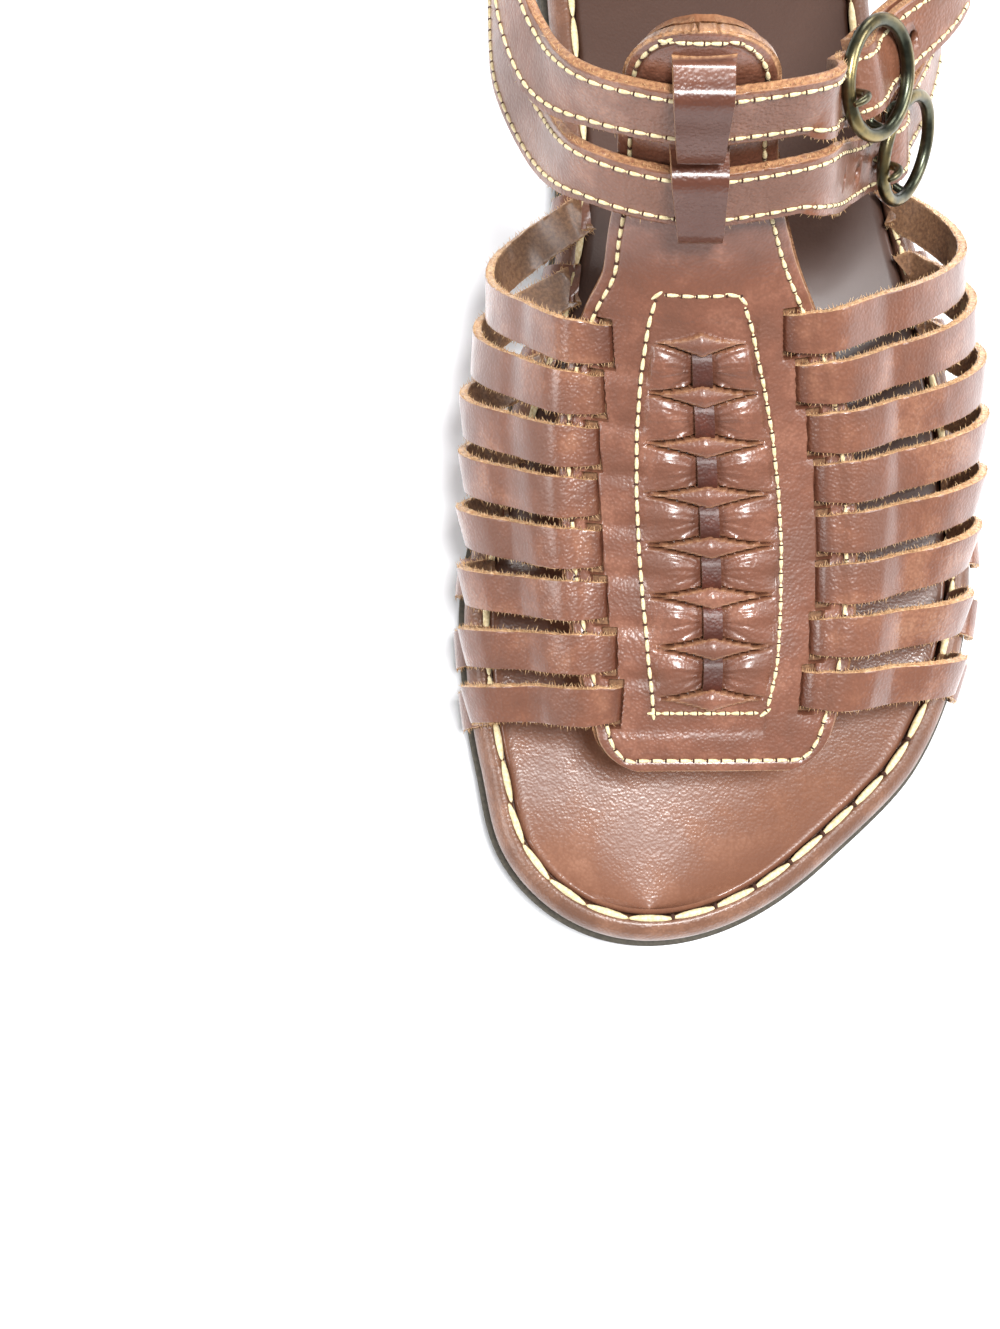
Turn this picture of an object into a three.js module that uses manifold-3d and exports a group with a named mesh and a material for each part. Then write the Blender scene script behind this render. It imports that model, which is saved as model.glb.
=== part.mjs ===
// A left gladiator sandal: flat moulded sole, leather-wrapped midsole, footbed, woven centre panel,
// eight side straps a side and two buckled ankle straps.
// Millimetres. +Z is up, the toe points to -Y and the outer (little toe) side is +X.
import * as THREE from "three";
import Module from "manifold-3d";

const wasm = await Module();
wasm.setup();

// Driving sizes
const LENGTH = 255;
const BALL_WIDTH = 99.5;
const HEEL_RIM = 22;
const INSTEP_RISE = 112;
const GAP = 0.3;

// Sole sizes
const TOE_ROUND = 0.25;
const HEEL_ROUND = 0.125;
const RIM_WIDTH = 4.8;
const OUTSOLE_PROUD = 1.2;
const FOOTBED_THICK = 2.6;
const FOOTBED_DISH = 2.2;
const HEEL_BREAST = 0.70;
const CLEAT_DEPTH = 1.2;
const CLEAT_WIDTH = 5;
const CLEAT_PITCH = 10;
const RIB_DEPTH = 0.7;

// Upper sizes
const LINING_THICK = 1.2;
const PANEL_THICK = 1.8;
const LINING_SHOWS = 1.6;
const STRAP_THICK = 1.8;
const STRAP_WIDTH = 8;
const STRAP_COUNT = 8;
const FIRST_STRAP = 14;
const STRAP_PITCH = 9.15;
const STRAP_STAGGER = 1.2;
const SLOT_WIDTH = 2.9;
const TAIL_THICK = 1.3;
const WINDOW_START = 13.7;
const BOW_COUNT = 7;
const BOW_PITCH = 9.25;
const BRIDGE_RISE = 2.2;
const BRIDGE_HALF = 11;
const SLIT_HALF = 9.5;
const SLIT_OPEN = 2.7;
const BRIDGE_WIDTH = 1.5;
const LACE_WIDTH = 3.6;
const LACE_THICK = 0.8;

// Ankle sizes
const ANKLE_WIDTH = 11.2;
const ANKLE_THICK = 2.4;
const LOWER_AT = 111.6;
const UPPER_AT = 130.2;
const KEEPER_WIDTH = 8.4;
const KEEPER_THICK = 1.5;
const RING_RADIUS = 8.7;
const RING_TUBE = 1.1;
const BAR_RADIUS = 0.7;
const HOLE_RADIUS = 1.1;
const FREE_END = 27;
const SEAM = 0.6;
const PRONG_BASE = -2.2;
const PRONG_RADIUS = 0.75;
const PRONG_HOLE = 1.7;
const HEEL_STRAP_WIDTH = 20;
const HEEL_STRAP_THICK = 2.2;

// Leather, rubber and metal as the photo shows them
function material(color, roughness, metalness) {
  return new THREE.MeshStandardMaterial({ color, roughness, metalness });
}
const leather = material(0x96593c, 0.5, 0);
const darkLeather = material(0x64372a, 0.5, 0);
const liningLeather = material(0x9a6a46, 0.8, 0);
const rubber = material(0x46443c, 0.8, 0);
const metal = material(0x4b4e41, 0.4, 0.9);

// Sections of the sole. at is the share of the length from the toe; centre, medial and lateral are
// shares of the ball width; ground, parting and rim are shares of the rim's height at the heel.
const SOLE = [
  { at: 0, centre: -0.115, medial: 0.475, lateral: 0.475, ground: 0.28, parting: 0.46, rim: 0.79 },
  { at: 0.06, centre: -0.08, medial: 0.475, lateral: 0.475, ground: 0.16, parting: 0.35, rim: 0.7 },
  { at: 0.13, centre: -0.02, medial: 0.478, lateral: 0.49, ground: 0.05, parting: 0.26, rim: 0.62 },
  { at: 0.2, centre: 0.005, medial: 0.482, lateral: 0.5, ground: 0, parting: 0.22, rim: 0.57 },
  { at: 0.27, centre: 0.02, medial: 0.49, lateral: 0.51, ground: 0, parting: 0.22, rim: 0.56 },
  { at: 0.34, centre: 0.04, medial: 0.475, lateral: 0.485, ground: 0, parting: 0.24, rim: 0.58 },
  { at: 0.42, centre: 0.06, medial: 0.43, lateral: 0.44, ground: 0.06, parting: 0.29, rim: 0.64 },
  { at: 0.5, centre: 0.07, medial: 0.375, lateral: 0.385, ground: 0.16, parting: 0.37, rim: 0.73 },
  { at: 0.58, centre: 0.062, medial: 0.34, lateral: 0.34, ground: 0.24, parting: 0.46, rim: 0.83 },
  { at: 0.68, centre: 0.03, medial: 0.325, lateral: 0.32, ground: 0.27, parting: 0.55, rim: 0.93 },
  { at: 0.8, centre: 0.008, medial: 0.325, lateral: 0.322, ground: 0.27, parting: 0.59, rim: 0.99 },
  { at: 0.9, centre: 0, medial: 0.325, lateral: 0.322, ground: 0.27, parting: 0.6, rim: 1 },
  { at: 1, centre: 0, medial: 0.32, lateral: 0.32, ground: 0.28, parting: 0.6, rim: 1 },
];

// Sections of the foot under the upper, from the panel's toe end to its rounded tongue. crest_y and the
// two roots are shares of the length; crest_z and belly (the height of the widest place) are shares of
// the instep's rise; crest_x, medial and lateral are shares of the ball width.
const FOOT = [
  { at: 0, crest_x: -0.03, crest_y: 0.128, crest_z: 0.265, belly: 0.17, medial: -0.43, lateral: 0.43,
    medial_root: 0.115, lateral_root: 0.13 },
  { at: 0.14, crest_x: -0.018, crest_y: 0.197, crest_z: 0.325, belly: 0.2, medial: -0.447, lateral: 0.455,
    medial_root: 0.205, lateral_root: 0.215 },
  { at: 0.277, crest_x: -0.026, crest_y: 0.268, crest_z: 0.376, belly: 0.235, medial: -0.453, lateral: 0.48,
    medial_root: 0.318, lateral_root: 0.328 },
  { at: 0.411, crest_x: -0.04, crest_y: 0.336, crest_z: 0.44, belly: 0.265, medial: -0.452, lateral: 0.488,
    medial_root: 0.43, lateral_root: 0.438 },
  { at: 0.535, crest_x: -0.056, crest_y: 0.395, crest_z: 0.52, belly: 0.295, medial: -0.41, lateral: 0.455,
    medial_root: 0.545, lateral_root: 0.538 },
  { at: 0.646, crest_x: -0.07, crest_y: 0.447, crest_z: 0.615, belly: 0.33, medial: -0.375, lateral: 0.41,
    medial_root: 0.62, lateral_root: 0.62 },
  { at: 0.768, crest_x: -0.085, crest_y: 0.478, crest_z: 0.742, belly: 0.37, medial: -0.36, lateral: 0.38,
    medial_root: 0.67, lateral_root: 0.65 },
  { at: 0.894, crest_x: -0.1, crest_y: 0.5, crest_z: 0.875, belly: 0.42, medial: -0.355, lateral: 0.37,
    medial_root: 0.7, lateral_root: 0.68 },
  { at: 1, crest_x: -0.114, crest_y: 0.523, crest_z: 1.062, belly: 0.46, medial: -0.35, lateral: 0.355,
    medial_root: 0.72, lateral_root: 0.7 },
];

// Half widths of the centre panel: at is the share of the panel's length; medial, lateral and slot (the
// line that the strap slots are on) are shares of the ball width, measured over the curve.
const PANEL = [
  { at: 0, medial: 0.175, lateral: 0.213, slot: 0.16 },
  { at: 0.062, medial: 0.203, lateral: 0.229, slot: 0.166 },
  { at: 0.131, medial: 0.235, lateral: 0.247, slot: 0.178 },
  { at: 0.254, medial: 0.257, lateral: 0.262, slot: 0.2 },
  { at: 0.33, medial: 0.258, lateral: 0.262, slot: 0.201 },
  { at: 0.4, medial: 0.255, lateral: 0.257, slot: 0.193 },
  { at: 0.51, medial: 0.222, lateral: 0.227, slot: 0.162 },
  { at: 0.565, medial: 0.189, lateral: 0.193, slot: 0.142 },
  { at: 0.62, medial: 0.152, lateral: 0.164, slot: 0.12 },
  { at: 0.668, medial: 0.142, lateral: 0.147, slot: 0.11 },
  { at: 0.77, medial: 0.121, lateral: 0.121, slot: 0.08 },
  { at: 1, medial: 0.108, lateral: 0.108, slot: 0.07 },
];

// Routes of the ankle straps round the leg. turn is the angle from the toe side, positive to the outer
// side; reach is the distance from the ankle's axis as a share of the ankle's half length; height is a
// share of the instep's rise; lean tips the strap's upper edge inward.
const ANKLE_HALF_LENGTH = 0.2275 * LENGTH;
const ANKLE_X = -2;
const ANKLE_Y = 0.7216 * LENGTH;
const LOWER_ROUTE = [
  { turn: -180, reach: 1.06, height: 0.56, lean: 6 },
  { turn: -164, reach: 1.0, height: 0.555, lean: 6 },
  { turn: -143, reach: 0.83, height: 0.54, lean: 7 },
  { turn: -112, reach: 0.66, height: 0.52, lean: 9 },
  { turn: -82, reach: 0.655, height: 0.525, lean: 13 },
  { turn: -62, reach: 0.735, height: 0.542, lean: 20 },
  { turn: -47, reach: 0.86, height: 0.59, lean: 27 },
  { turn: -32.5, reach: 1.005, height: 0.655, lean: 28 },
];
const LOWER_RING_ROUTE = [
  { turn: 20.5, reach: 1.0, height: 0.63, lean: 30 },
  { turn: 31, reach: 0.943, height: 0.57, lean: 32 },
  { turn: 42.7, reach: 0.872, height: 0.53, lean: 27 },
  { turn: 58, reach: 0.79, height: 0.5, lean: 18 },
  { turn: 90, reach: 0.7, height: 0.49, lean: 9 },
  { turn: 120, reach: 0.73, height: 0.52, lean: 7 },
  { turn: 145, reach: 0.84, height: 0.545, lean: 6 },
  { turn: 164, reach: 1.0, height: 0.555, lean: 6 },
  { turn: 180, reach: 1.06, height: 0.56, lean: 6 },
];
const UPPER_ROUTE = [
  { turn: -180, reach: 1.0, height: 0.79, lean: 5 },
  { turn: -163, reach: 0.94, height: 0.785, lean: 5 },
  { turn: -141, reach: 0.77, height: 0.77, lean: 6 },
  { turn: -105, reach: 0.62, height: 0.755, lean: 8 },
  { turn: -74, reach: 0.63, height: 0.76, lean: 13 },
  { turn: -52.4, reach: 0.799, height: 0.775, lean: 22 },
  { turn: -36.4, reach: 0.947, height: 0.815, lean: 30 },
];
const UPPER_RING_ROUTE = [
  { turn: 15.5, reach: 0.898, height: 0.83, lean: 36 },
  { turn: 23, reach: 0.841, height: 0.765, lean: 43 },
  { turn: 35.3, reach: 0.793, height: 0.72, lean: 38 },
  { turn: 55, reach: 0.777, height: 0.695, lean: 24 },
  { turn: 88, reach: 0.675, height: 0.705, lean: 11 },
  { turn: 120, reach: 0.68, height: 0.74, lean: 7 },
  { turn: 143, reach: 0.78, height: 0.77, lean: 6 },
  { turn: 163, reach: 0.94, height: 0.785, lean: 5 },
  { turn: 180, reach: 1.0, height: 0.79, lean: 5 },
];

// Smooth curve through one column of a table, level wherever the column turns or stays level
function column(rows, key) {
  const rise = rows.slice(1).map((row, i) => (row[key] - rows[i][key]) / (row.at - rows[i].at));
  const slope = rows.map((row, i) => {
    if (i === 0) return rise[0];
    if (i === rows.length - 1) return rise[i - 1];
    const turns = rise[i - 1] * rise[i] <= 0;
    return turns ? 0 : (2 * rise[i - 1] * rise[i]) / (rise[i - 1] + rise[i]);
  });
  return (at) => {
    let i = 0;
    while (i < rows.length - 2 && at > rows[i + 1].at) i += 1;
    const span = rows[i + 1].at - rows[i].at;
    const t = (at - rows[i].at) / span;
    const climb = rows[i + 1][key] - rows[i][key];
    const bend = slope[i] * span - climb;
    const unbend = climb - slope[i + 1] * span;
    return rows[i][key] + t * climb + t * (1 - t) * (bend * (1 - t) + unbend * t);
  };
}

function columns(rows) {
  const keys = Object.keys(rows[0]).filter((key) => key !== "at");
  return Object.fromEntries(keys.map((key) => [key, column(rows, key)]));
}

const sole = columns(SOLE);
const foot = columns(FOOT);
const panel = columns(PANEL);

// Share of the full half width near a rounded end, where near runs from 0 at the tip
function rounded(near, reach) {
  const left = 1 - Math.min(near / reach, 1);
  return Math.sqrt(Math.max(1 - left * left, 0));
}

// Heights of the sole at a share of its length
function heightAt(name, at) {
  return sole[name](at) * HEEL_RIM;
}

// The rim's outline as a closed ring: out on the outer side from toe to heel, back on the inner side
const SOLE_STATIONS = 29;

function station(i) {
  return (1 - Math.cos((Math.PI * i) / SOLE_STATIONS)) / 2;
}

function outlinePoint(at, side) {
  const round = rounded(at, TOE_ROUND) * rounded(1 - at, HEEL_ROUND);
  const half = side > 0 ? sole.lateral(at) : -sole.medial(at);
  return new THREE.Vector2((sole.centre(at) + half * round) * BALL_WIDTH, at * LENGTH);
}

// A point on the outline moved inward by inset, with the outline's direction there
function edgePoint(at, side, inset) {
  const step = 0.002;
  const lo = outlinePoint(Math.max(at - step, 0), side);
  const hi = outlinePoint(Math.min(at + step, 1), side);
  const tipped = at < step || at > 1 - step;
  const direction = tipped ? new THREE.Vector2(0, 0) : hi.sub(lo).normalize();
  const inward = new THREE.Vector2(-direction.y * side, direction.x * side);
  if (tipped) inward.set(0, at < 0.5 ? 1 : -1);
  const point = outlinePoint(at, side).addScaledVector(inward, inset);
  return { point, inward, direction };
}

// One closed ring of the sole's outline at an inset, with a height for each share of the length
function soleRing(inset, height) {
  const ring = [];
  for (let i = 0; i < 2 * SOLE_STATIONS; i += 1) {
    const side = i <= SOLE_STATIONS ? 1 : -1;
    const at = station(side > 0 ? i : 2 * SOLE_STATIONS - i);
    const { point } = edgePoint(at, side, inset);
    ring.push([point.x, point.y, height(at, point)]);
  }
  return ring;
}

// Vertices and triangles, gathered piece by piece
function newMesh() {
  return { points: [], faces: [] };
}

function addPoint(mesh, p) {
  mesh.points.push(p);
  return mesh.points.length - 1;
}

function addQuad(mesh, a, b, c, d) {
  mesh.faces.push([a, b, c], [a, c, d]);
}

function toManifold(mesh) {
  const geometry = new wasm.Mesh({
    numProp: 3,
    vertProperties: new Float32Array(mesh.points.flat()),
    triVerts: new Uint32Array(mesh.faces.flat()),
  });
  const solid = new wasm.Manifold(geometry);
  if (solid.volume() < 0) throw new Error("a solid is inside out");
  return solid;
}

// Drops triangles that a coarser surface within a tolerance doesn't need
function thinned(solid, tolerance) {
  return solid.asOriginal().simplify(tolerance);
}

function toNode(solid, name, look) {
  const mesh = solid.getMesh();
  const geometry = new THREE.BufferGeometry();
  const count = mesh.vertProperties.length / mesh.numProp;
  const position = new Float32Array(count * 3);
  for (let i = 0; i < count; i += 1) {
    for (let k = 0; k < 3; k += 1) position[3 * i + k] = mesh.vertProperties[mesh.numProp * i + k];
  }
  geometry.setAttribute("position", new THREE.BufferAttribute(position, 3));
  geometry.setIndex(new THREE.BufferAttribute(new Uint32Array(mesh.triVerts), 1));
  geometry.computeVertexNormals();
  const node = new THREE.Mesh(geometry, look);
  node.name = name;
  return node;
}

// Closes the first or last ring of a sole layer with a grid of strips across it
function soleCap(mesh, ring, start, strips, height, upward) {
  const across = [];
  for (let i = 0; i <= SOLE_STATIONS; i += 1) {
    const outer = start + i;
    const inner = start + ((2 * SOLE_STATIONS - i) % (2 * SOLE_STATIONS));
    if (i === 0 || i === SOLE_STATIONS) {
      across.push([outer]);
      continue;
    }
    const row = [inner];
    for (let k = 1; k < strips; k += 1) {
      const t = k / strips;
      const a = ring[inner - start];
      const b = ring[outer - start];
      const x = a[0] + (b[0] - a[0]) * t;
      const y = a[1] + (b[1] - a[1]) * t;
      row.push(addPoint(mesh, [x, y, height(station(i), x, y, t)]));
    }
    row.push(outer);
    across.push(row);
  }
  const face = (a, b, c) => mesh.faces.push(upward ? [a, b, c] : [a, c, b]);
  for (let i = 0; i < SOLE_STATIONS; i += 1) {
    const near = across[i];
    const far = across[i + 1];
    for (let k = 0; k < strips; k += 1) {
      if (near.length > 1) face(near[k], near[k + 1], far[Math.min(k + 1, far.length - 1)]);
      if (far.length > 1) face(near[Math.min(k, near.length - 1)], far[k + 1], far[k]);
    }
  }
}

// A layer of the sole from rings listed upward, with its two caps
function soleLayer(rings, strips, under, over) {
  const mesh = newMesh();
  const count = 2 * SOLE_STATIONS;
  for (const ring of rings) {
    for (const p of ring) addPoint(mesh, p);
  }
  for (let r = 0; r < rings.length - 1; r += 1) {
    for (let i = 0; i < count; i += 1) {
      const j = (i + 1) % count;
      addQuad(mesh, r * count + i, r * count + j, (r + 1) * count + j, (r + 1) * count + i);
    }
  }
  const last = rings.length - 1;
  soleCap(mesh, rings[0], 0, strips, under, false);
  soleCap(mesh, rings[last], last * count, strips, over, true);
  return thinned(toManifold(mesh), 0.075);
}

// A straight bar with a rectangular section, used to cut cleats and steps
function bar(x, y, z, width, depth, tall) {
  const box = new THREE.BoxGeometry(width, depth, tall);
  const flat = box.getAttribute("position");
  const mesh = newMesh();
  const seen = new Map();
  const index = [];
  for (let i = 0; i < flat.count; i += 1) {
    const p = [flat.getX(i) + x, flat.getY(i) + y, flat.getZ(i) + z];
    const key = p.join(",");
    if (!seen.has(key)) seen.set(key, addPoint(mesh, p));
    index.push(seen.get(key));
  }
  const tri = box.getIndex();
  for (let i = 0; i < tri.count; i += 3) {
    mesh.faces.push([index[tri.getX(i)], index[tri.getX(i + 1)], index[tri.getX(i + 2)]]);
  }
  return toManifold(mesh);
}

// Outsole: one moulding, proud of the rand, ribbed along its side and cleated underneath
function outsole() {
  const rise = (share) => (at) =>
    heightAt("ground", at) + (heightAt("parting", at) - heightAt("ground", at)) * share;
  const rings = [
    soleRing(-OUTSOLE_PROUD + 1.2, rise(0)),
    soleRing(-OUTSOLE_PROUD, rise(0.22)),
    soleRing(-OUTSOLE_PROUD, rise(0.48)),
    soleRing(-OUTSOLE_PROUD + RIB_DEPTH, rise(0.56)),
    soleRing(-OUTSOLE_PROUD, rise(0.64)),
    soleRing(-OUTSOLE_PROUD, rise(1)),
  ];
  const ground = (at) => heightAt("ground", at);
  const parting = (at) => heightAt("parting", at);
  let solid = soleLayer(rings, 3, ground, parting);
  const lift = heightAt("ground", HEEL_BREAST);
  const heel = heelBlock(lift);
  solid = solid.add(heel);
  const floor = -HEEL_RIM;
  for (let y = 0.17 * LENGTH; y < 0.42 * LENGTH; y += CLEAT_PITCH) {
    const x = sole.centre(y / LENGTH) * BALL_WIDTH;
    const cut = bar(x, y, floor + CLEAT_DEPTH, 0.62 * BALL_WIDTH, CLEAT_PITCH - CLEAT_WIDTH, 2 * HEEL_RIM);
    solid = solid.subtract(cut);
  }
  for (let y = (HEEL_BREAST + 0.06) * LENGTH; y < 0.93 * LENGTH; y += CLEAT_PITCH) {
    const x = sole.centre(y / LENGTH) * BALL_WIDTH;
    const cut = bar(x, y, floor + CLEAT_DEPTH, 0.36 * BALL_WIDTH, CLEAT_PITCH - CLEAT_WIDTH, 2 * HEEL_RIM);
    solid = solid.subtract(cut);
  }
  return solid;
}

// The low heel under the seat, from its breast to the back, flat on the floor
function heelBlock(lift) {
  const steps = 16;
  const mesh = newMesh();
  const levels = [
    { z: 0, inset: 0.6 },
    { z: 1, inset: -0.4 },
    { z: lift + 2.2, inset: -OUTSOLE_PROUD + 0.4 },
  ];
  const count = 2 * steps + 1;
  for (const level of levels) {
    for (let i = 0; i < count; i += 1) {
      const side = i <= steps ? 1 : -1;
      const turn = (side > 0 ? i : 2 * steps - i) / steps;
      const at = HEEL_BREAST + (1 - HEEL_BREAST) * Math.sin((Math.PI / 2) * turn);
      const { point } = edgePoint(Math.min(at, 1), side, level.inset);
      addPoint(mesh, [point.x, point.y, level.z]);
    }
  }
  for (let r = 0; r < levels.length - 1; r += 1) {
    for (let i = 0; i < count; i += 1) {
      const j = (i + 1) % count;
      addQuad(mesh, r * count + i, r * count + j, (r + 1) * count + j, (r + 1) * count + i);
    }
  }
  const top = (levels.length - 1) * count;
  for (let i = 0; i < steps; i += 1) {
    const back = count - 1 - i;
    mesh.faces.push([i, back, i + 1], [top + i, top + i + 1, top + back]);
    if (i === steps - 1) break;
    mesh.faces.push([i + 1, back, back - 1], [top + i + 1, top + back - 1, top + back]);
  }
  return toManifold(mesh);
}

// Section of the rand from its foot to the recess that holds the footbed: how far it stands inside the
// outline and how high it is as a share of its height
const RAND_PROFILE = [
  { inset: 1.0, rise: 0 },
  { inset: 0.2, rise: 0.2 },
  { inset: 0, rise: 0.45 },
  { inset: 0.4, rise: 0.7 },
  { inset: 1.5, rise: 0.9 },
  { inset: 3.2, rise: 1 },
  { inset: RIM_WIDTH - 0.6, rise: 0.97 },
];

function randHeight(at, rise) {
  const foot = heightAt("parting", at) + GAP;
  return foot + (heightAt("rim", at) - foot) * rise;
}

function recessHeight(at) {
  return heightAt("rim", at) - FOOTBED_THICK - GAP;
}

function midsoleRand() {
  const rings = RAND_PROFILE.map((row) => soleRing(row.inset, (at) => randHeight(at, row.rise)));
  rings.push(soleRing(RIM_WIDTH, recessHeight));
  const under = (at) => heightAt("parting", at) + GAP;
  return soleLayer(rings, 4, under, (at, x, y, t) => recessHeight(at) - dish(at, t));
}

// How far the footbed is hollowed: deepest in the middle, less at the arch
function dish(at, t) {
  const across = Math.sin(Math.PI * t);
  const arch = 1 - 0.5 * Math.exp(-(((at - 0.55) / 0.12) ** 2));
  return FOOTBED_DISH * across * arch;
}

function footbed() {
  const inset = RIM_WIDTH + GAP;
  const rings = [
    soleRing(inset, (at) => recessHeight(at) + GAP),
    soleRing(inset, (at) => heightAt("rim", at) - 1.3),
    soleRing(inset + 0.8, (at) => heightAt("rim", at) - 0.8),
  ];
  const under = (at, x, y, t) => recessHeight(at) + GAP - dish(at, t);
  const over = (at, x, y, t) => heightAt("rim", at) - 0.8 - dish(at, t);
  return soleLayer(rings, 5, under, over);
}

// Section of the foot from crest to root on one side, as points with their distance from the crest
const SECTION_STEPS = 40;

function crestPoint(at) {
  const x = foot.crest_x(at) * BALL_WIDTH;
  return new THREE.Vector3(x, foot.crest_y(at) * LENGTH, foot.crest_z(at) * INSTEP_RISE);
}

function rootPoint(at, side) {
  const share = side > 0 ? foot.lateral_root(at) : foot.medial_root(at);
  const { point } = edgePoint(share, side, RIM_WIDTH + 0.7);
  return new THREE.Vector3(point.x, point.y, heightAt("rim", share) + 3);
}

const sectionStore = new Map();

function section(at, side) {
  const key = at.toFixed(5) + side;
  if (sectionStore.has(key)) return sectionStore.get(key);
  const crest = crestPoint(at);
  const root = rootPoint(at, side);
  const belly = foot.belly(at) * INSTEP_RISE;
  const wide = (side > 0 ? foot.lateral(at) : foot.medial(at)) * BALL_WIDTH;
  const half = Math.abs(wide - crest.x);
  const tuck = Math.acos(Math.min(Math.abs(root.x - crest.x) / half, 1));
  const points = [];
  let run = 0;
  for (let k = 0; k <= SECTION_STEPS; k += 1) {
    const t = k / SECTION_STEPS;
    const turn = Math.PI / 2 - t * (Math.PI / 2 + tuck);
    const flare = turn > 0 ? 0.92 : 1;
    const x = crest.x + side * half * Math.cos(turn) ** flare;
    const up = turn > 0 ? (crest.z - belly) * Math.sin(turn) ** 0.95 : 0;
    const down = turn < 0 ? ((belly - root.z) * Math.sin(turn)) / Math.sin(tuck) : 0;
    const y = crest.y + (root.y - crest.y) * t ** 1.6;
    const p = new THREE.Vector3(x, y, belly + up + down);
    if (k > 0) run += p.distanceTo(points[k - 1].p);
    points.push({ p, run });
  }
  sectionStore.set(key, points);
  return points;
}

// Point on the foot at a distance from the crest, positive to the outer side
function onSection(at, distance) {
  const points = section(at, distance < 0 ? -1 : 1);
  const want = Math.abs(distance);
  let i = 1;
  while (i < points.length - 1 && points[i].run < want) i += 1;
  const t = (want - points[i - 1].run) / (points[i].run - points[i - 1].run);
  return points[i - 1].p.clone().lerp(points[i].p, t);
}

function sectionReach(at, side) {
  return section(at, side)[SECTION_STEPS].run;
}

// Crest positions are given as distances along the panel; this turns them into shares of the table
const CREST_STEPS = 200;
const crestRun = [0];
for (let k = 1; k <= CREST_STEPS; k += 1) {
  const step = crestPoint(k / CREST_STEPS).distanceTo(crestPoint((k - 1) / CREST_STEPS));
  crestRun.push(crestRun[k - 1] + step);
}
const PANEL_LENGTH = crestRun[CREST_STEPS];

function shareAlong(distance) {
  let i = 1;
  while (i < CREST_STEPS && crestRun[i] < distance) i += 1;
  const t = (distance - crestRun[i - 1]) / (crestRun[i] - crestRun[i - 1]);
  return (i - 1 + t) / CREST_STEPS;
}

// Frame on the foot: point, outward normal, direction along the panel and direction across it
function onFoot(along, across, lift) {
  const step = 0.4;
  const here = onSection(shareAlong(along), across);
  const ahead = onSection(shareAlong(along + step), across);
  const behind = onSection(shareAlong(along - step), across);
  const right = onSection(shareAlong(along), across + step);
  const left = onSection(shareAlong(along), across - step);
  const forward = ahead.sub(behind).normalize();
  const side = right.sub(left).normalize();
  const normal = side.clone().cross(forward).normalize();
  return { p: here.addScaledVector(normal, lift), normal, forward, side };
}

// Half width of the panel on one side, with its rounded corners
const TOE_CORNER = 7;

function panelEdge(along, side) {
  const at = along / PANEL_LENGTH;
  const base = (side < 0 ? panel.medial(at) : panel.lateral(at)) * BALL_WIDTH;
  const toe = TOE_CORNER * (1 - rounded(along, TOE_CORNER));
  return (base - toe) * rounded(PANEL_LENGTH - along, 0.95 * base);
}

// A shell on the foot between two lifts. rows gives the places along it and edge its half width there.
function shell(rows, columnsAcross, edge, under, over) {
  const mesh = newMesh();
  const count = columnsAcross.length;
  for (const lift of [under, over]) {
    for (const along of rows) {
      for (const share of columnsAcross) {
        const across = share * edge(along, share);
        const { p } = onFoot(along, across, lift(along, across));
        addPoint(mesh, p.toArray());
      }
    }
  }
  const layer = rows.length * count;
  const at = (top, r, c) => top * layer + r * count + c;
  for (let r = 0; r < rows.length - 1; r += 1) {
    for (let c = 0; c < count - 1; c += 1) {
      addQuad(mesh, at(1, r, c), at(1, r, c + 1), at(1, r + 1, c + 1), at(1, r + 1, c));
      addQuad(mesh, at(0, r, c), at(0, r + 1, c), at(0, r + 1, c + 1), at(0, r, c + 1));
    }
    addQuad(mesh, at(0, r, 0), at(1, r, 0), at(1, r + 1, 0), at(0, r + 1, 0));
    const e = count - 1;
    addQuad(mesh, at(0, r, e), at(0, r + 1, e), at(1, r + 1, e), at(1, r, e));
  }
  const z = rows.length - 1;
  for (let c = 0; c < count - 1; c += 1) {
    addQuad(mesh, at(0, 0, c), at(0, 0, c + 1), at(1, 0, c + 1), at(1, 0, c));
    addQuad(mesh, at(0, z, c), at(1, z, c), at(1, z, c + 1), at(0, z, c + 1));
  }
  return toManifold(mesh);
}

// A prism standing on the foot: its outline is given as places along and across the panel
function prismOnFoot(outline, under, over) {
  const mesh = newMesh();
  const count = outline.length;
  for (const lift of [under, over]) {
    for (const [along, across] of outline) addPoint(mesh, onFoot(along, across, lift).p.toArray());
  }
  for (let i = 0; i < count; i += 1) {
    const j = (i + 1) % count;
    addQuad(mesh, i, j, count + j, count + i);
  }
  for (let i = 1; i < count - 1; i += 1) {
    mesh.faces.push([0, i + 1, i], [count, count + i, count + i + 1]);
  }
  return toManifold(mesh);
}

// A flat strip swept through frames, each with its centre, width direction, normal, width and thickness
function strip(frames) {
  const mesh = newMesh();
  for (const f of frames) {
    for (const [u, v] of [[-1, -1], [1, -1], [1, 1], [-1, 1]]) {
      const p = f.p.clone();
      p.addScaledVector(f.across, (u * f.width) / 2);
      p.addScaledVector(f.normal, (v * f.thick) / 2);
      addPoint(mesh, p.toArray());
    }
  }
  const last = (frames.length - 1) * 4;
  for (let i = 0; i < last; i += 4) {
    for (let k = 0; k < 4; k += 1) {
      const next = (k + 1) % 4;
      addQuad(mesh, i + k, i + next, i + 4 + next, i + 4 + k);
    }
  }
  mesh.faces.push([0, 2, 1], [0, 3, 2]);
  mesh.faces.push([last, last + 1, last + 2], [last, last + 2, last + 3]);
  return toManifold(mesh);
}

// Frames for a strip from centre points and rough width directions, taken in order
function framesAlong(points, widths, width, thick) {
  return points.map((p, i) => {
    const before = points[Math.max(i - 1, 0)];
    const after = points[Math.min(i + 1, points.length - 1)];
    const tangent = after.clone().sub(before).normalize();
    const across = widths[i].clone().addScaledVector(tangent, -widths[i].dot(tangent)).normalize();
    const normal = across.clone().cross(tangent).negate();
    return { p: p.clone(), across, normal, width, thick: typeof thick === "function" ? thick(i) : thick };
  });
}

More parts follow.
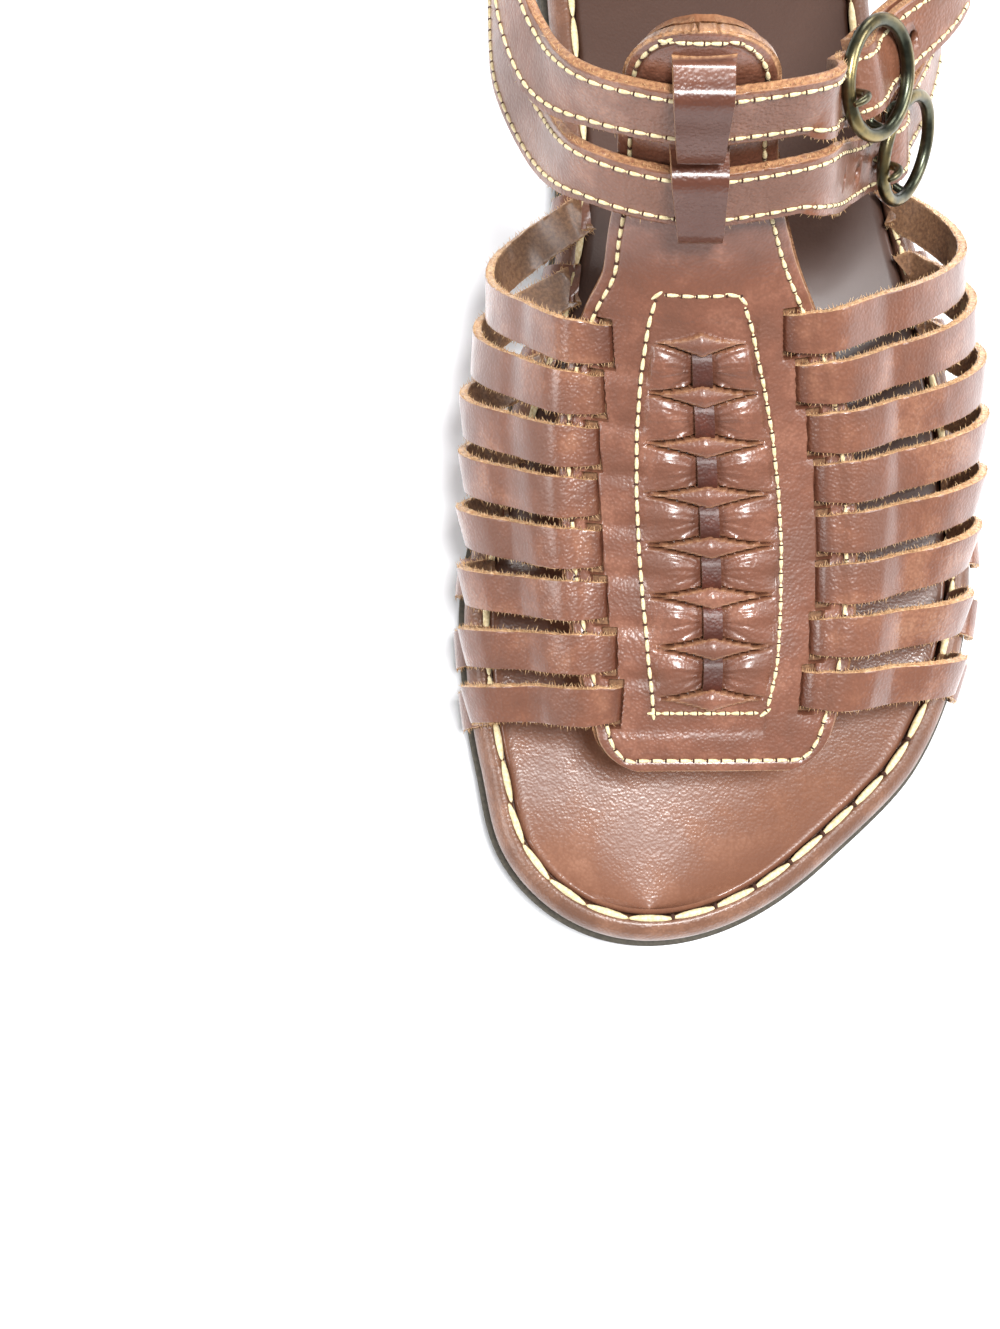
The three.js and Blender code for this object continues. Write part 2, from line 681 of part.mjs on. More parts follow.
// Lifts of the layers over the foot
const PANEL_UNDER = LINING_THICK + GAP + 0.2;
const PANEL_TOP = PANEL_UNDER + PANEL_THICK;
const STRAP_LIFT = PANEL_TOP + GAP + 0.35 + STRAP_THICK / 2;
const SIDE_LIFT = 1.6;

// The panel rises over the lace at each bridge between two bows
function bridgeRise(along, across) {
  const from = along - WINDOW_START;
  const near = Math.round(from / BOW_PITCH);
  if (near < 0 || near > BOW_COUNT) return 0;
  const away = Math.abs(from - near * BOW_PITCH);
  const share = Math.max(1 - Math.abs(across) / BRIDGE_HALF, 0);
  const half = 2.6;
  return away < half ? BRIDGE_RISE * share * (1 - (away / half) ** 2) : 0;
}

// The outer side's straps are staggered a little toward the heel
function strapAlong(i, side) {
  return FIRST_STRAP + i * STRAP_PITCH + side * STRAP_STAGGER;
}

function slotAcross(along) {
  return panel.slot(along / PANEL_LENGTH) * BALL_WIDTH;
}

const PANEL_SHARES = [-1, -0.7, -0.36, 0, 0.36, 0.7, 1];

function panelRows() {
  const rows = [0, 0.6, 1.8, 3.6, 6];
  for (let i = 0; i <= BOW_COUNT; i += 1) {
    const middle = WINDOW_START + i * BOW_PITCH;
    rows.push(middle - 2.6, middle, middle + 2.6);
  }
  const from = rows[rows.length - 1];
  const to = PANEL_LENGTH - 8;
  const steps = 11;
  for (let i = 1; i <= steps; i += 1) rows.push(from + ((to - from) * i) / steps);
  rows.push(PANEL_LENGTH - 4.5, PANEL_LENGTH - 2.2, PANEL_LENGTH - 0.8, PANEL_LENGTH - 0.12);
  return rows;
}

function vampPanel() {
  const under = (along, across) => PANEL_UNDER + bridgeRise(along, across);
  const over = (along, across) => PANEL_TOP + bridgeRise(along, across);
  let solid = shell(panelRows(), PANEL_SHARES, panelEdge, under, over);
  const deep = LINING_THICK + GAP / 2;
  const tall = STRAP_LIFT + 4;
  for (let i = 0; i < STRAP_COUNT; i += 1) {
    const half = STRAP_WIDTH / 2 + GAP;
    for (const side of [-1, 1]) {
      const along = strapAlong(i, side);
      const a = side * (slotAcross(along) - SLOT_WIDTH / 2);
      const b = side * (slotAcross(along) + SLOT_WIDTH / 2);
      const low = Math.min(a, b);
      const high = Math.max(a, b);
      const outline = [[along - half, low], [along - half, high], [along + half, high], [along + half, low]];
      solid = solid.subtract(prismOnFoot(outline, deep, tall));
    }
  }
  for (let i = 0; i <= BOW_COUNT; i += 1) {
    for (const end of [-1, 1]) {
      if ((i === 0 && end < 0) || (i === BOW_COUNT && end > 0)) continue;
      const from = WINDOW_START + i * BOW_PITCH + end * BRIDGE_WIDTH / 2;
      const to = from + end * SLIT_OPEN;
      const a = Math.min(from, to);
      const b = Math.max(from, to);
      const flat = LACE_WIDTH / 2 + 0.6;
      const tip = (a + b) / 2;
      const outline = [[tip, -SLIT_HALF], [a, -flat], [a, flat], [tip, SLIT_HALF], [b, flat], [b, -flat]];
      solid = solid.subtract(prismOnFoot(outline, deep, tall));
    }
  }
  solid = solid.add(keeper(LOWER_AT));
  return thinned(solid.add(keeper(UPPER_AT)), 0.12);
}

// A band cut from the panel that holds an ankle strap down. It runs up over the strap and down again.
const STRAP_OVER_PANEL = PANEL_TOP + GAP + 0.5 + ANKLE_THICK / 2;

// Lengths above the hollow of the instep are shorter than on the foot, so a band over it runs wider
const HOLLOW_SPREAD = 1.18;

function keeper(middle) {
  const top = STRAP_OVER_PANEL + ANKLE_THICK / 2 + GAP + 0.2 + KEEPER_THICK / 2;
  const half = (HOLLOW_SPREAD * ANKLE_WIDTH) / 2;
  const foot = PANEL_TOP - KEEPER_THICK / 2;
  const path = [
    [-half - 3, foot],
    [-half - 2, foot + 0.5],
    [-half - 1.5, (foot + top) / 2],
    [-half - 1.0, top - 0.5],
    [-half + 0.3, top + 0.15],
    [0, top],
    [half - 0.3, top + 0.15],
    [half + 1.0, top - 0.5],
    [half + 1.5, (foot + top) / 2],
    [half + 2, foot + 0.5],
    [half + 3, foot],
  ];
  const points = [];
  const widths = [];
  for (const [away, lift] of path) {
    const frame = onFoot(Math.min(middle + away, PANEL_LENGTH - 0.5), 0, lift);
    points.push(frame.p);
    widths.push(frame.side.clone().negate());
  }
  return strip(framesAlong(points, widths, KEEPER_WIDTH, KEEPER_THICK));
}

function panelLining() {
  const edge = (along, side) => {
    const inside = Math.min(Math.max(along, 0.35), PANEL_LENGTH - 0.2);
    return panelEdge(inside, side) + (inside > 0.8 * PANEL_LENGTH ? -0.6 : LINING_SHOWS * 0.5);
  };
  const plain = (along) => along > 6 && along < WINDOW_START + BOW_COUNT * BOW_PITCH;
  const rows = panelRows().filter((along, i) => !plain(along) || i % 2 === 0);
  return shell(rows, PANEL_SHARES, edge, () => 0, () => LINING_THICK);
}

// The flat lace: over each bow and under each bridge
function bowLace() {
  const points = [];
  const widths = [];
  const low = LINING_THICK + GAP + LACE_THICK / 2;
  const high = PANEL_TOP + GAP + LACE_THICK / 2;
  for (let i = 0; i <= BOW_COUNT; i += 1) {
    const middle = WINDOW_START + i * BOW_PITCH;
    const first = i === 0 ? [[-1, low]] : [[-3.5, high], [-2.9, high - 0.05], [-1.2, low + 0.02]];
    const last = i === BOW_COUNT ? [[1, low]] : [[1.2, low + 0.02], [2.9, high - 0.05], [3.5, high]];
    for (const [away, lift] of [...first, [0, low], ...last]) {
      const frame = onFoot(middle + away, 0, lift);
      points.push(frame.p);
      widths.push(frame.side.clone().negate());
    }
  }
  return strip(framesAlong(points, widths, LACE_WIDTH, LACE_THICK));
}

// One side strap: out of its slot, over the panel's edge, down the side, then turned out over the rand
const WALL_STEPS = 7;

function sideStrap(i, side) {
  const along = strapAlong(i, side);
  const share = shareAlong(along);
  const near = STRAP_WIDTH / 2;
  const edge = Math.max(panelEdge(along - near, side), panelEdge(along + near, side));
  const slot = slotAcross(along);
  const reach = sectionReach(share, side);
  const points = [];
  const widths = [];
  const place = (across, lift) => {
    const frame = onFoot(along, side * across, lift);
    points.push(frame.p);
    widths.push(frame.forward.clone());
  };
  const bend = 1.6;
  place(slot, PANEL_UNDER + 0.2);
  place(slot, STRAP_LIFT - bend - 0.2);
  place(slot + bend * 0.3, STRAP_LIFT - bend * 0.32);
  place(slot + bend, STRAP_LIFT);
  place(edge - 0.5, STRAP_LIFT);
  for (let k = 1; k <= WALL_STEPS; k += 1) {
    const t = k / WALL_STEPS;
    const across = edge + 0.8 + (reach - edge - 0.8) * t;
    const settle = Math.min((across - edge - 0.8) / 9, 1);
    const ease = settle * settle * (3 - 2 * settle);
    place(across, STRAP_LIFT + (SIDE_LIFT - STRAP_LIFT) * ease);
  }
  const root = side > 0 ? foot.lateral_root(share) : foot.medial_root(share);
  const clear = GAP + 0.4 + TAIL_THICK / 2;
  const tail = [
    [RIM_WIDTH + 0.3, 1.0, clear + 0.8],
    [RIM_WIDTH - 0.6, 1.0, clear + 0.25],
    [RIM_WIDTH - 1.6, 1.0, clear + 0.1],
    [3.2, 1.0, clear],
    [1.5 - clear * 0.6, 0.9, clear * 0.8],
    [0.4 - clear * 0.95, 0.7, clear * 0.4],
    [-clear, 0.45, 0.2],
    [0.05 - clear, 0.22, 0],
  ];
  for (const [inset, rise, up] of tail) {
    const { point, direction } = edgePoint(root, side, inset);
    points.push(new THREE.Vector3(point.x, point.y, randHeight(root, rise) + up));
    widths.push(new THREE.Vector3(direction.x, direction.y, 0));
  }
  const wall = points.length - tail.length;
  const thick = (k) => (k < wall - 1 ? STRAP_THICK : TAIL_THICK);
  const frames = framesAlong(points, widths, STRAP_WIDTH, thick);
  if (side > 0) {
    for (const f of frames) f.normal.negate();
    frames.reverse();
  }
  return strip(frames);
}

// A place on a route round the ankle, with the strap's upward direction
function routePoint(row) {
  const turn = THREE.MathUtils.degToRad(row.turn);
  const lean = THREE.MathUtils.degToRad(row.lean);
  const out = new THREE.Vector3(Math.sin(turn), -Math.cos(turn), 0);
  const p = new THREE.Vector3(ANKLE_X, ANKLE_Y, row.height * INSTEP_RISE);
  p.addScaledVector(out, row.reach * ANKLE_HALF_LENGTH);
  const up = out.clone().multiplyScalar(-Math.sin(lean));
  up.z = Math.cos(lean);
  return { p, up };
}

// A whole loop round the ankle: from the back by the inner side, over the panel, and by the ring back
const LOOP_STEPS = 40;

function ankleLoop(inner, along, outer) {
  const front = [-16.5, -8, 0, 8, 16.5].map((across) => {
    const clear = Math.abs(across) > 10 ? 0.5 : 0;
    const rise = (across < 0 ? 3 : 2) * (across / 16.5) ** 2;
    const frame = onFoot(along + rise, across, STRAP_OVER_PANEL + clear);
    return { p: frame.p, up: frame.forward };
  });
  const guides = [...inner.map(routePoint), ...front, ...outer.map(routePoint)];
  const line = new THREE.CatmullRomCurve3(guides.map((g) => g.p), false, "centripetal");
  const spans = guides.length - 1;
  line.arcLengthDivisions = spans * LOOP_STEPS;
  const lengths = line.getLengths();
  const ring = lengths[(inner.length + front.length + 1) * LOOP_STEPS];
  return { line, guides, ring, total: lengths[spans * LOOP_STEPS], lengths };
}

// Frame on a loop at a distance from its start, lifted outward
function onLoop(loop, distance, lift) {
  const u = Math.min(Math.max(distance / loop.total, 0), 1);
  const t = loop.line.getUtoTmapping(u) * (loop.guides.length - 1);
  const i = Math.min(Math.floor(t), loop.guides.length - 2);
  const tangent = loop.line.getTangentAt(u);
  const across = loop.guides[i].up.clone().lerp(loop.guides[i + 1].up, t - i);
  across.addScaledVector(tangent, -across.dot(tangent)).normalize();
  const normal = tangent.clone().cross(across);
  return { p: loop.line.getPointAt(u).addScaledVector(normal, lift), tangent, across, normal };
}

function stripOnLoop(loop, stops, lift, width, thick) {
  const points = stops.map((distance) => onLoop(loop, distance, lift(distance)));
  return strip(framesAlong(points.map((f) => f.p), points.map((f) => f.across), width, thick));
}

// Stops from one distance to another, evenly spaced
function evenStops(from, to, pitch) {
  const count = Math.max(Math.round((to - from) / pitch), 1);
  return Array.from({ length: count + 1 }, (unused, i) => from + ((to - from) * i) / count);
}

// The strap dips under both sides of the ring and humps over its bar
const RING_LIFT = ANKLE_THICK / 2 + GAP + 0.8 + RING_TUBE;
const BAR_SAG = 2.2;
const HUMP_HALF = 5.2;
const HUMP = RING_LIFT - BAR_SAG + BAR_RADIUS + GAP + ANKLE_THICK / 2;

function hump(away) {
  return Math.abs(away) < HUMP_HALF ? HUMP * Math.cos((Math.PI / 2) * (away / HUMP_HALF)) ** 2 : 0;
}

function ankleStrap(loop, holes) {
  const end = loop.ring + FREE_END;
  const stops = [
    SEAM,
    3 * SEAM,
    ...evenStops(6, 21, 4),
    ...evenStops(25, loop.ring - HUMP_HALF - 1, 6),
    ...evenStops(loop.ring - HUMP_HALF, loop.ring + HUMP_HALF, 1.6),
    ...evenStops(loop.ring + HUMP_HALF + 1, end - 4, 5),
  ];
  let solid = stripOnLoop(loop, stops, (d) => hump(d - loop.ring), ANKLE_WIDTH, ANKLE_THICK);
  for (const away of holes) solid = solid.subtract(holeThrough(loop, loop.ring + away, 0, HOLE_RADIUS));
  solid = solid.subtract(holeThrough(loop, loop.ring + PRONG_BASE, hump(PRONG_BASE), PRONG_HOLE));
  return thinned(solid, 0.03);
}

function holeThrough(loop, distance, lift, radius) {
  const frame = onLoop(loop, distance, lift);
  const mesh = newMesh();
  const sides = 8;
  for (const level of [-1.3 * ANKLE_THICK, 1.3 * ANKLE_THICK]) {
    for (let k = 0; k < sides; k += 1) {
      const turn = (2 * Math.PI * k) / sides;
      const p = frame.p.clone().addScaledVector(frame.normal, level);
      p.addScaledVector(frame.across, radius * Math.cos(turn));
      p.addScaledVector(frame.tangent, -radius * Math.sin(turn));
      addPoint(mesh, p.toArray());
    }
  }
  for (let k = 0; k < sides; k += 1) {
    const j = (k + 1) % sides;
    addQuad(mesh, k, j, sides + j, sides + k);
  }
  for (let k = 1; k < sides - 1; k += 1) {
    mesh.faces.push([0, k + 1, k], [sides, sides + k, sides + k + 1]);
  }
  return toManifold(mesh);
}

// The outer strap that carries the ring: under the free end, then outside the heel strap to the back
function buckleStrap(loop) {
  const from = loop.ring + 1.5;
  const under = -(ANKLE_THICK + GAP);
  const lift = (distance) => {
    const away = (distance - loop.ring - FREE_END) / 14;
    const ease = THREE.MathUtils.smoothstep(away, 0, 1);
    return under * (1 - ease);
  };
  const stops = [
    ...evenStops(from, loop.ring + FREE_END + 14, 5),
    ...evenStops(loop.ring + FREE_END + 20, loop.total - 25, 6),
    ...evenStops(loop.total - 21, loop.total - 6, 4),
    loop.total - 3 * SEAM,
    loop.total - SEAM,
  ];
  return stripOnLoop(loop, stops, lift, ANKLE_WIDTH, ANKLE_THICK);
}

// A round bar through points, with a radius at each, closed at both ends
function roundBar(points, radii, sides) {
  const mesh = newMesh();
  const frames = framesAlong(points, points.map(() => new THREE.Vector3(0.31, 0.22, 0.93)), 0, 0);
  frames.forEach((f, i) => {
    for (let k = 0; k < sides; k += 1) {
      const turn = (2 * Math.PI * k) / sides;
      const p = f.p.clone().addScaledVector(f.across, radii[i] * Math.cos(turn));
      p.addScaledVector(f.normal, radii[i] * Math.sin(turn));
      addPoint(mesh, p.toArray());
    }
  });
  for (let i = 0; i < points.length - 1; i += 1) {
    for (let k = 0; k < sides; k += 1) {
      const j = (k + 1) % sides;
      addQuad(mesh, i * sides + k, i * sides + j, (i + 1) * sides + j, (i + 1) * sides + k);
    }
  }
  const last = (points.length - 1) * sides;
  for (let k = 1; k < sides - 1; k += 1) {
    mesh.faces.push([0, k + 1, k], [last, last + k, last + k + 1]);
  }
  return toManifold(mesh);
}

// Ring with its bar across, lying over the strap
function ringBuckle(loop) {
  const frame = onLoop(loop, loop.ring, RING_LIFT);
  const place = (x, y, z) => {
    const p = frame.p.clone().addScaledVector(frame.tangent, x);
    return p.addScaledVector(frame.across, y).addScaledVector(frame.normal, z);
  };
  const mesh = newMesh();
  const around = 18;
  const sides = 6;
  for (let i = 0; i < around; i += 1) {
    const a = (2 * Math.PI * i) / around;
    for (let k = 0; k < sides; k += 1) {
      const b = (2 * Math.PI * k) / sides;
      const radius = RING_RADIUS + RING_TUBE * Math.cos(b);
      addPoint(mesh, place(radius * Math.cos(a), radius * Math.sin(a), RING_TUBE * Math.sin(b)).toArray());
    }
  }
  for (let i = 0; i < around; i += 1) {
    for (let k = 0; k < sides; k += 1) {
      const n = (i + 1) % around;
      const j = (k + 1) % sides;
      addQuad(mesh, i * sides + k, n * sides + k, n * sides + j, i * sides + j);
    }
  }
  const bar = [-1, -0.86, -0.76, 0.76, 0.86, 1].map((y) => {
    const sag = Math.abs(y) < 0.8 ? BAR_SAG : Math.abs(y) < 0.9 ? BAR_SAG * 0.6 : 0;
    return place(0, y * RING_RADIUS, -sag);
  });
  return toManifold(mesh).add(roundBar(bar, bar.map(() => BAR_RADIUS), 8));
}

// Prong: up through the strap's hole and over the toe side of the ring
function buckleProng(loop) {
  const base = onLoop(loop, loop.ring, RING_LIFT);
  const over = RING_TUBE + GAP + PRONG_RADIUS;
  const path = [
    { away: -1.7, up: -BAR_SAG + 1.5, radius: 0.6 },
    { away: PRONG_BASE - 0.5, up: -BAR_SAG + 3.6, radius: 0.7 },
    { away: -4.2, up: over + 0.5, radius: 0.75 },
    { away: -6.8, up: over + 0.1, radius: 0.75 },
    { away: -9.2, up: over, radius: 0.65 },
    { away: -10.2, up: over - 0.3, radius: 0.4 },
  ];
  const points = path.map((row) => {
    return base.p.clone().addScaledVector(base.tangent, row.away).addScaledVector(base.normal, row.up);
  });
  return roundBar(points, path.map((row) => row.radius), 8);
}

// The upright piece at the heel, inside both ankle straps, standing on the rand's rim
function heelStrap(lower, upper) {
  const inward = -(ANKLE_THICK / 2 + GAP + 1.5 + HEEL_STRAP_THICK / 2);
  const shares = [-1, -0.5, 0, 0.5, 1];
  const columnsUp = shares.map((share) => {
    const away = (share * HEEL_STRAP_WIDTH) / 2;
    const at = (loop, extra) => {
      const distance = away < 0 ? -away : loop.total - away;
      const frame = onLoop(loop, distance, inward);
      return frame.p.addScaledVector(frame.across, extra);
    };
    const turn = away / 27;
    const rim = new THREE.Vector3(
      sole.centre(1) * BALL_WIDTH + (27 * Math.sin(turn)),
      LENGTH - RIM_WIDTH + 1.2 - 27 * (1 - Math.cos(turn)),
      heightAt("rim", 0.99) + GAP,
    );
    const swell = rim.clone().lerp(at(lower, 0), 0.4).add(new THREE.Vector3(0, 1, 0));
    return new THREE.CatmullRomCurve3(
      [rim, swell, at(lower, 0), at(upper, 0), at(upper, ANKLE_WIDTH / 2 + 3.5)],
      false,
      "centripetal",
    );
  });
  const rows = 10;
  const grid = [];
  for (let r = 0; r <= rows; r += 1) grid.push(columnsUp.map((line) => line.getPoint(r / rows)));
  return sheet(grid, HEEL_STRAP_THICK);
}

// A closed sheet of even thickness on a grid of points
function sheet(grid, thick) {
  const rows = grid.length;
  const count = grid[0].length;
  const mesh = newMesh();
  for (const side of [-1, 1]) {
    for (let r = 0; r < rows; r += 1) {
      for (let c = 0; c < count; c += 1) {
        const up = grid[Math.min(r + 1, rows - 1)][c].clone().sub(grid[Math.max(r - 1, 0)][c]);
        const right = grid[r][Math.min(c + 1, count - 1)].clone().sub(grid[r][Math.max(c - 1, 0)]);
        const normal = up.cross(right).normalize();
        addPoint(mesh, grid[r][c].clone().addScaledVector(normal, (side * thick) / 2).toArray());
      }
    }
  }
  const at = (top, r, c) => top * rows * count + r * count + c;
  for (let r = 0; r < rows - 1; r += 1) {
    for (let c = 0; c < count - 1; c += 1) {
      addQuad(mesh, at(1, r, c), at(1, r + 1, c), at(1, r + 1, c + 1), at(1, r, c + 1));
      addQuad(mesh, at(0, r, c), at(0, r, c + 1), at(0, r + 1, c + 1), at(0, r + 1, c));
    }
    const e = count - 1;
    addQuad(mesh, at(0, r, 0), at(0, r + 1, 0), at(1, r + 1, 0), at(1, r, 0));
    addQuad(mesh, at(0, r, e), at(1, r, e), at(1, r + 1, e), at(0, r + 1, e));
  }
  const z = rows - 1;
  for (let c = 0; c < count - 1; c += 1) {
    addQuad(mesh, at(0, 0, c), at(1, 0, c), at(1, 0, c + 1), at(0, 0, c + 1));
    addQuad(mesh, at(0, z, c), at(0, z, c + 1), at(1, z, c + 1), at(1, z, c));
  }
  return toManifold(mesh);
}

const nodes = [];
const keep = (name, solid, look) => nodes.push(toNode(solid, name, look));

keep("outsole", outsole(), rubber);
keep("midsole_rand", midsoleRand(), leather);
keep("footbed", footbed(), leather);
keep("vamp_panel", vampPanel(), leather);
keep("panel_lining", panelLining(), liningLeather);
keep("bow_lace", bowLace(), darkLeather);
for (let i = 0; i < STRAP_COUNT; i += 1) {
  keep("medial_strap_" + (STRAP_COUNT - i), sideStrap(i, -1), leather);
  keep("lateral_strap_" + (STRAP_COUNT - i), sideStrap(i, 1), leather);
}

const lowerLoop = ankleLoop(LOWER_ROUTE, LOWER_AT, LOWER_RING_ROUTE);
const upperLoop = ankleLoop(UPPER_ROUTE, UPPER_AT, UPPER_RING_ROUTE);
for (const [name, loop, holes] of [["lower", lowerLoop, [-12, -21]], ["upper", upperLoop, [-14.5, 12.5]]]) {
  keep("ankle_strap_" + name, ankleStrap(loop, holes), leather);
  keep("buckle_strap_" + name, buckleStrap(loop), leather);
  keep("ring_buckle_" + name, ringBuckle(loop), metal);
  keep("buckle_prong_" + name, buckleProng(loop), metal);
}
keep("heel_strap", heelStrap(lowerLoop, upperLoop), leather);

const sandal = new THREE.Group();
sandal.name = "gladiator_sandal";
for (const node of nodes) sandal.add(node);
const box = new THREE.Box3().setFromObject(sandal);
const middle = box.getCenter(new THREE.Vector3());
sandal.position.set(-middle.x, -middle.y, -box.min.z);

export default sandal;
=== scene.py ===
"""A left gladiator sandal in waxed brown leather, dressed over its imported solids.

Lengths in this file are millimetres until a mesh is made, and the axes are the part's own: the toe
points to -Y, the outer (little toe) side is +X and the floor is at zero.
"""
import math

import bpy
import numpy as np
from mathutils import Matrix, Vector


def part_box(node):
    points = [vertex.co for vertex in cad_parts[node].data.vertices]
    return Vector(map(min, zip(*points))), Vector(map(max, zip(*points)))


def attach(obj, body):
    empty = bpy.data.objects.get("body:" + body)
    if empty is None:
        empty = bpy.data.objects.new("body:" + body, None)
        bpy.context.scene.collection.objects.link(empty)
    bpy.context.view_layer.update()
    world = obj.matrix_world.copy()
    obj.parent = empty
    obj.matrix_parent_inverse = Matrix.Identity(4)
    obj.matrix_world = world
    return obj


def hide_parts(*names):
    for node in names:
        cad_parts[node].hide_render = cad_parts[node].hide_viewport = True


bl_info = {
    "name": "Gladiator sandal",
    "version": (1, 0, 0),
    "blender": (4, 5, 0),
    "location": "3D View > Sidebar > Sandal",
    "description": "Leather, thread, rubber and brass finish of a strapped sandal, with its stage",
    "category": "Object",
}

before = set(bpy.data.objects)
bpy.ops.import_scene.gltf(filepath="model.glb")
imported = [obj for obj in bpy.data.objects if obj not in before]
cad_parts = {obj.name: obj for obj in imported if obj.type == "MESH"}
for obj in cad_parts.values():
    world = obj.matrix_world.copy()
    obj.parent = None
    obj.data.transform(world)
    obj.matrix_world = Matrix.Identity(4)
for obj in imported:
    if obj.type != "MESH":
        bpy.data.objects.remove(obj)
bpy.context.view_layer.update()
MM = 0.001

# Sizes of the solids, and of the finish over them
LENGTH = 255.0
BALL_WIDTH = 99.5
HEEL_RIM = 22.0
INSTEP_RISE = 112.0
GAP = 0.3
TOE_ROUND = 0.25
HEEL_ROUND = 0.125
RIM_WIDTH = 4.8
OUTSOLE_PROUD = 1.2
FOOTBED_THICK = 2.6
FOOTBED_DISH = 2.2
FOOTBED_SUNK = 0.8
HEEL_BREAST = 0.70
CLEAT_DEPTH = 1.2
CLEAT_WIDTH = 5.0
CLEAT_PITCH = 10.0
BREAST_SLOPE = 1.5
LINING_THICK = 1.2
PANEL_THICK = 1.8
STRAP_THICK = 1.8
STRAP_WIDTH = 8.0
STRAP_COUNT = 8
FIRST_STRAP = 14.0
STRAP_PITCH = 9.15
STRAP_STAGGER = 1.2
STRAP_SEEN = 7.4
STRAP_LEAN = 13.0
SLOT_WIDTH = 2.9
TAIL_THICK = 1.3
WINDOW_START = 13.7
BOW_COUNT = 7
BOW_PITCH = 9.25
LENS_INSET = 0.8
LENS_WIDTH = 2.05
BRIDGE_RISE = 1.5
LACE_WIDTH = 3.4
LACE_THICK = 0.8
ANKLE_WIDTH = 11.2
ANKLE_THICK = 2.4
LOWER_AT = 111.6
UPPER_AT = 130.2
KEEPER_WIDTH = 8.4
KEEPER_THICK = 1.5
RING_RADIUS = 8.7
RING_TUBE = 1.1
BAR_RADIUS = 0.7
HOLE_RADIUS = 1.1
FREE_END = 27.0
SEAM = 0.6
PRONG_HOLE_AT = -5.6
PRONG_HOLE = 1.3
ANKLE_SEEN_THICK = 1.8
HEEL_STRAP_WIDTH = 20.0
HEEL_STRAP_THICK = 2.2
HOLLOW_SPREAD = 1.18
TOE_CORNER = 7.0
PANEL_UNDER = LINING_THICK + GAP + 0.2
PANEL_TOP = PANEL_UNDER + PANEL_THICK
STRAP_LIFT = PANEL_TOP + 0.35 + STRAP_THICK / 2
SIDE_LIFT = 1.6
STRAP_OVER_PANEL = PANEL_TOP + GAP + 0.5 + ANKLE_THICK / 2
RING_LIFT = ANKLE_THICK / 2 + GAP + 0.8 + RING_TUBE
BAR_SAG = 3.0
SINK_OVER = 14.0
HUMP_HALF = 7.0
HUMP = RING_LIFT - BAR_SAG + BAR_RADIUS + GAP + 0.9

# Finish: samples along a strap, roughness of cut edges, places of seams, threads and needle holes
# (length and thickness), fibres, the turn in degrees that stays sharp and the heel strap's grid
STRAP_STEP = 0.6
STRAP_RAGGED = 0.07
ANKLE_RAGGED = 0.05
ANKLE_SEAM = 1.5
BORDER_SEAM = 2.2
SEAM_STEP = 0.4
STITCH_OVERLAP = 1.04
RIM_OVERLAP = 1.03
RIM_THREAD = 1.4
FINE_HOLE = (0.5, 0.85)
RIM_HOLE = (0.9, 1.2)
FIBRE_THICK = 0.13
FIBRE_PUSH = 1.6
PUNCH_REACH = 2.6
SHARP_TURN = 58.0
TONGUE_ROUND = 0.95
HEEL_BEND = 27.0
HEEL_STRAP_COLUMNS = 17
HEEL_STRAP_ROWS = 90
HEEL_STRAP_EVEN_ROW = 40

# The photograph's viewpoint: 352 mm above the floor over the toe, tipped 6 degrees to the heel
CAMERA_PLACE = (-40.0, 17.6, 352.0)
CAMERA_TIP = 6.0
FOCAL_SHARE = 1750 / 1329
SENSOR = 36.0

# Lamps: name, place (metres), size and share of the key light
LAMPS = [
    ("key_softbox", (0.1, -0.09, 0.95), 0.24, 1.0),
    ("side_softbox", (0.75, 0.1, 0.55), 0.5, 0.55),
    ("fill_softbox", (-0.8, -0.2, 0.6), 0.5, 0.4),
    ("back_softbox", (0.3, 1.2, 0.5), 0.6, 0.5),
]
AIM = (-0.01, 0.0, 0.04)
FLOOR_HALF = 4.0

# Cleats: first and last row (shares of the length) and half width (share of the ball width)
FORE_CLEATS = (0.17, 0.42, 0.31)
HEEL_CLEATS = (HEEL_BREAST + 0.06, 0.93, 0.18)

# Sole: share of the length from the toe, centre, inner half, outer half (shares of the ball width),
# ground, parting and rim (shares of the rim's height at the heel)
SOLE = [
    (0.0, -0.115, 0.475, 0.475, 0.28, 0.46, 0.79),
    (0.06, -0.08, 0.475, 0.475, 0.16, 0.35, 0.7),
    (0.13, -0.02, 0.478, 0.49, 0.05, 0.26, 0.62),
    (0.2, 0.005, 0.482, 0.5, 0.0, 0.22, 0.57),
    (0.27, 0.02, 0.49, 0.51, 0.0, 0.22, 0.56),
    (0.34, 0.04, 0.475, 0.485, 0.0, 0.24, 0.58),
    (0.42, 0.06, 0.43, 0.44, 0.06, 0.29, 0.64),
    (0.5, 0.07, 0.375, 0.385, 0.16, 0.37, 0.73),
    (0.58, 0.062, 0.34, 0.34, 0.24, 0.46, 0.83),
    (0.68, 0.03, 0.325, 0.32, 0.27, 0.55, 0.93),
    (0.8, 0.008, 0.325, 0.322, 0.27, 0.59, 0.99),
    (0.9, 0.0, 0.325, 0.322, 0.27, 0.6, 1.0),
    (1.0, 0.0, 0.32, 0.32, 0.28, 0.6, 1.0),
]

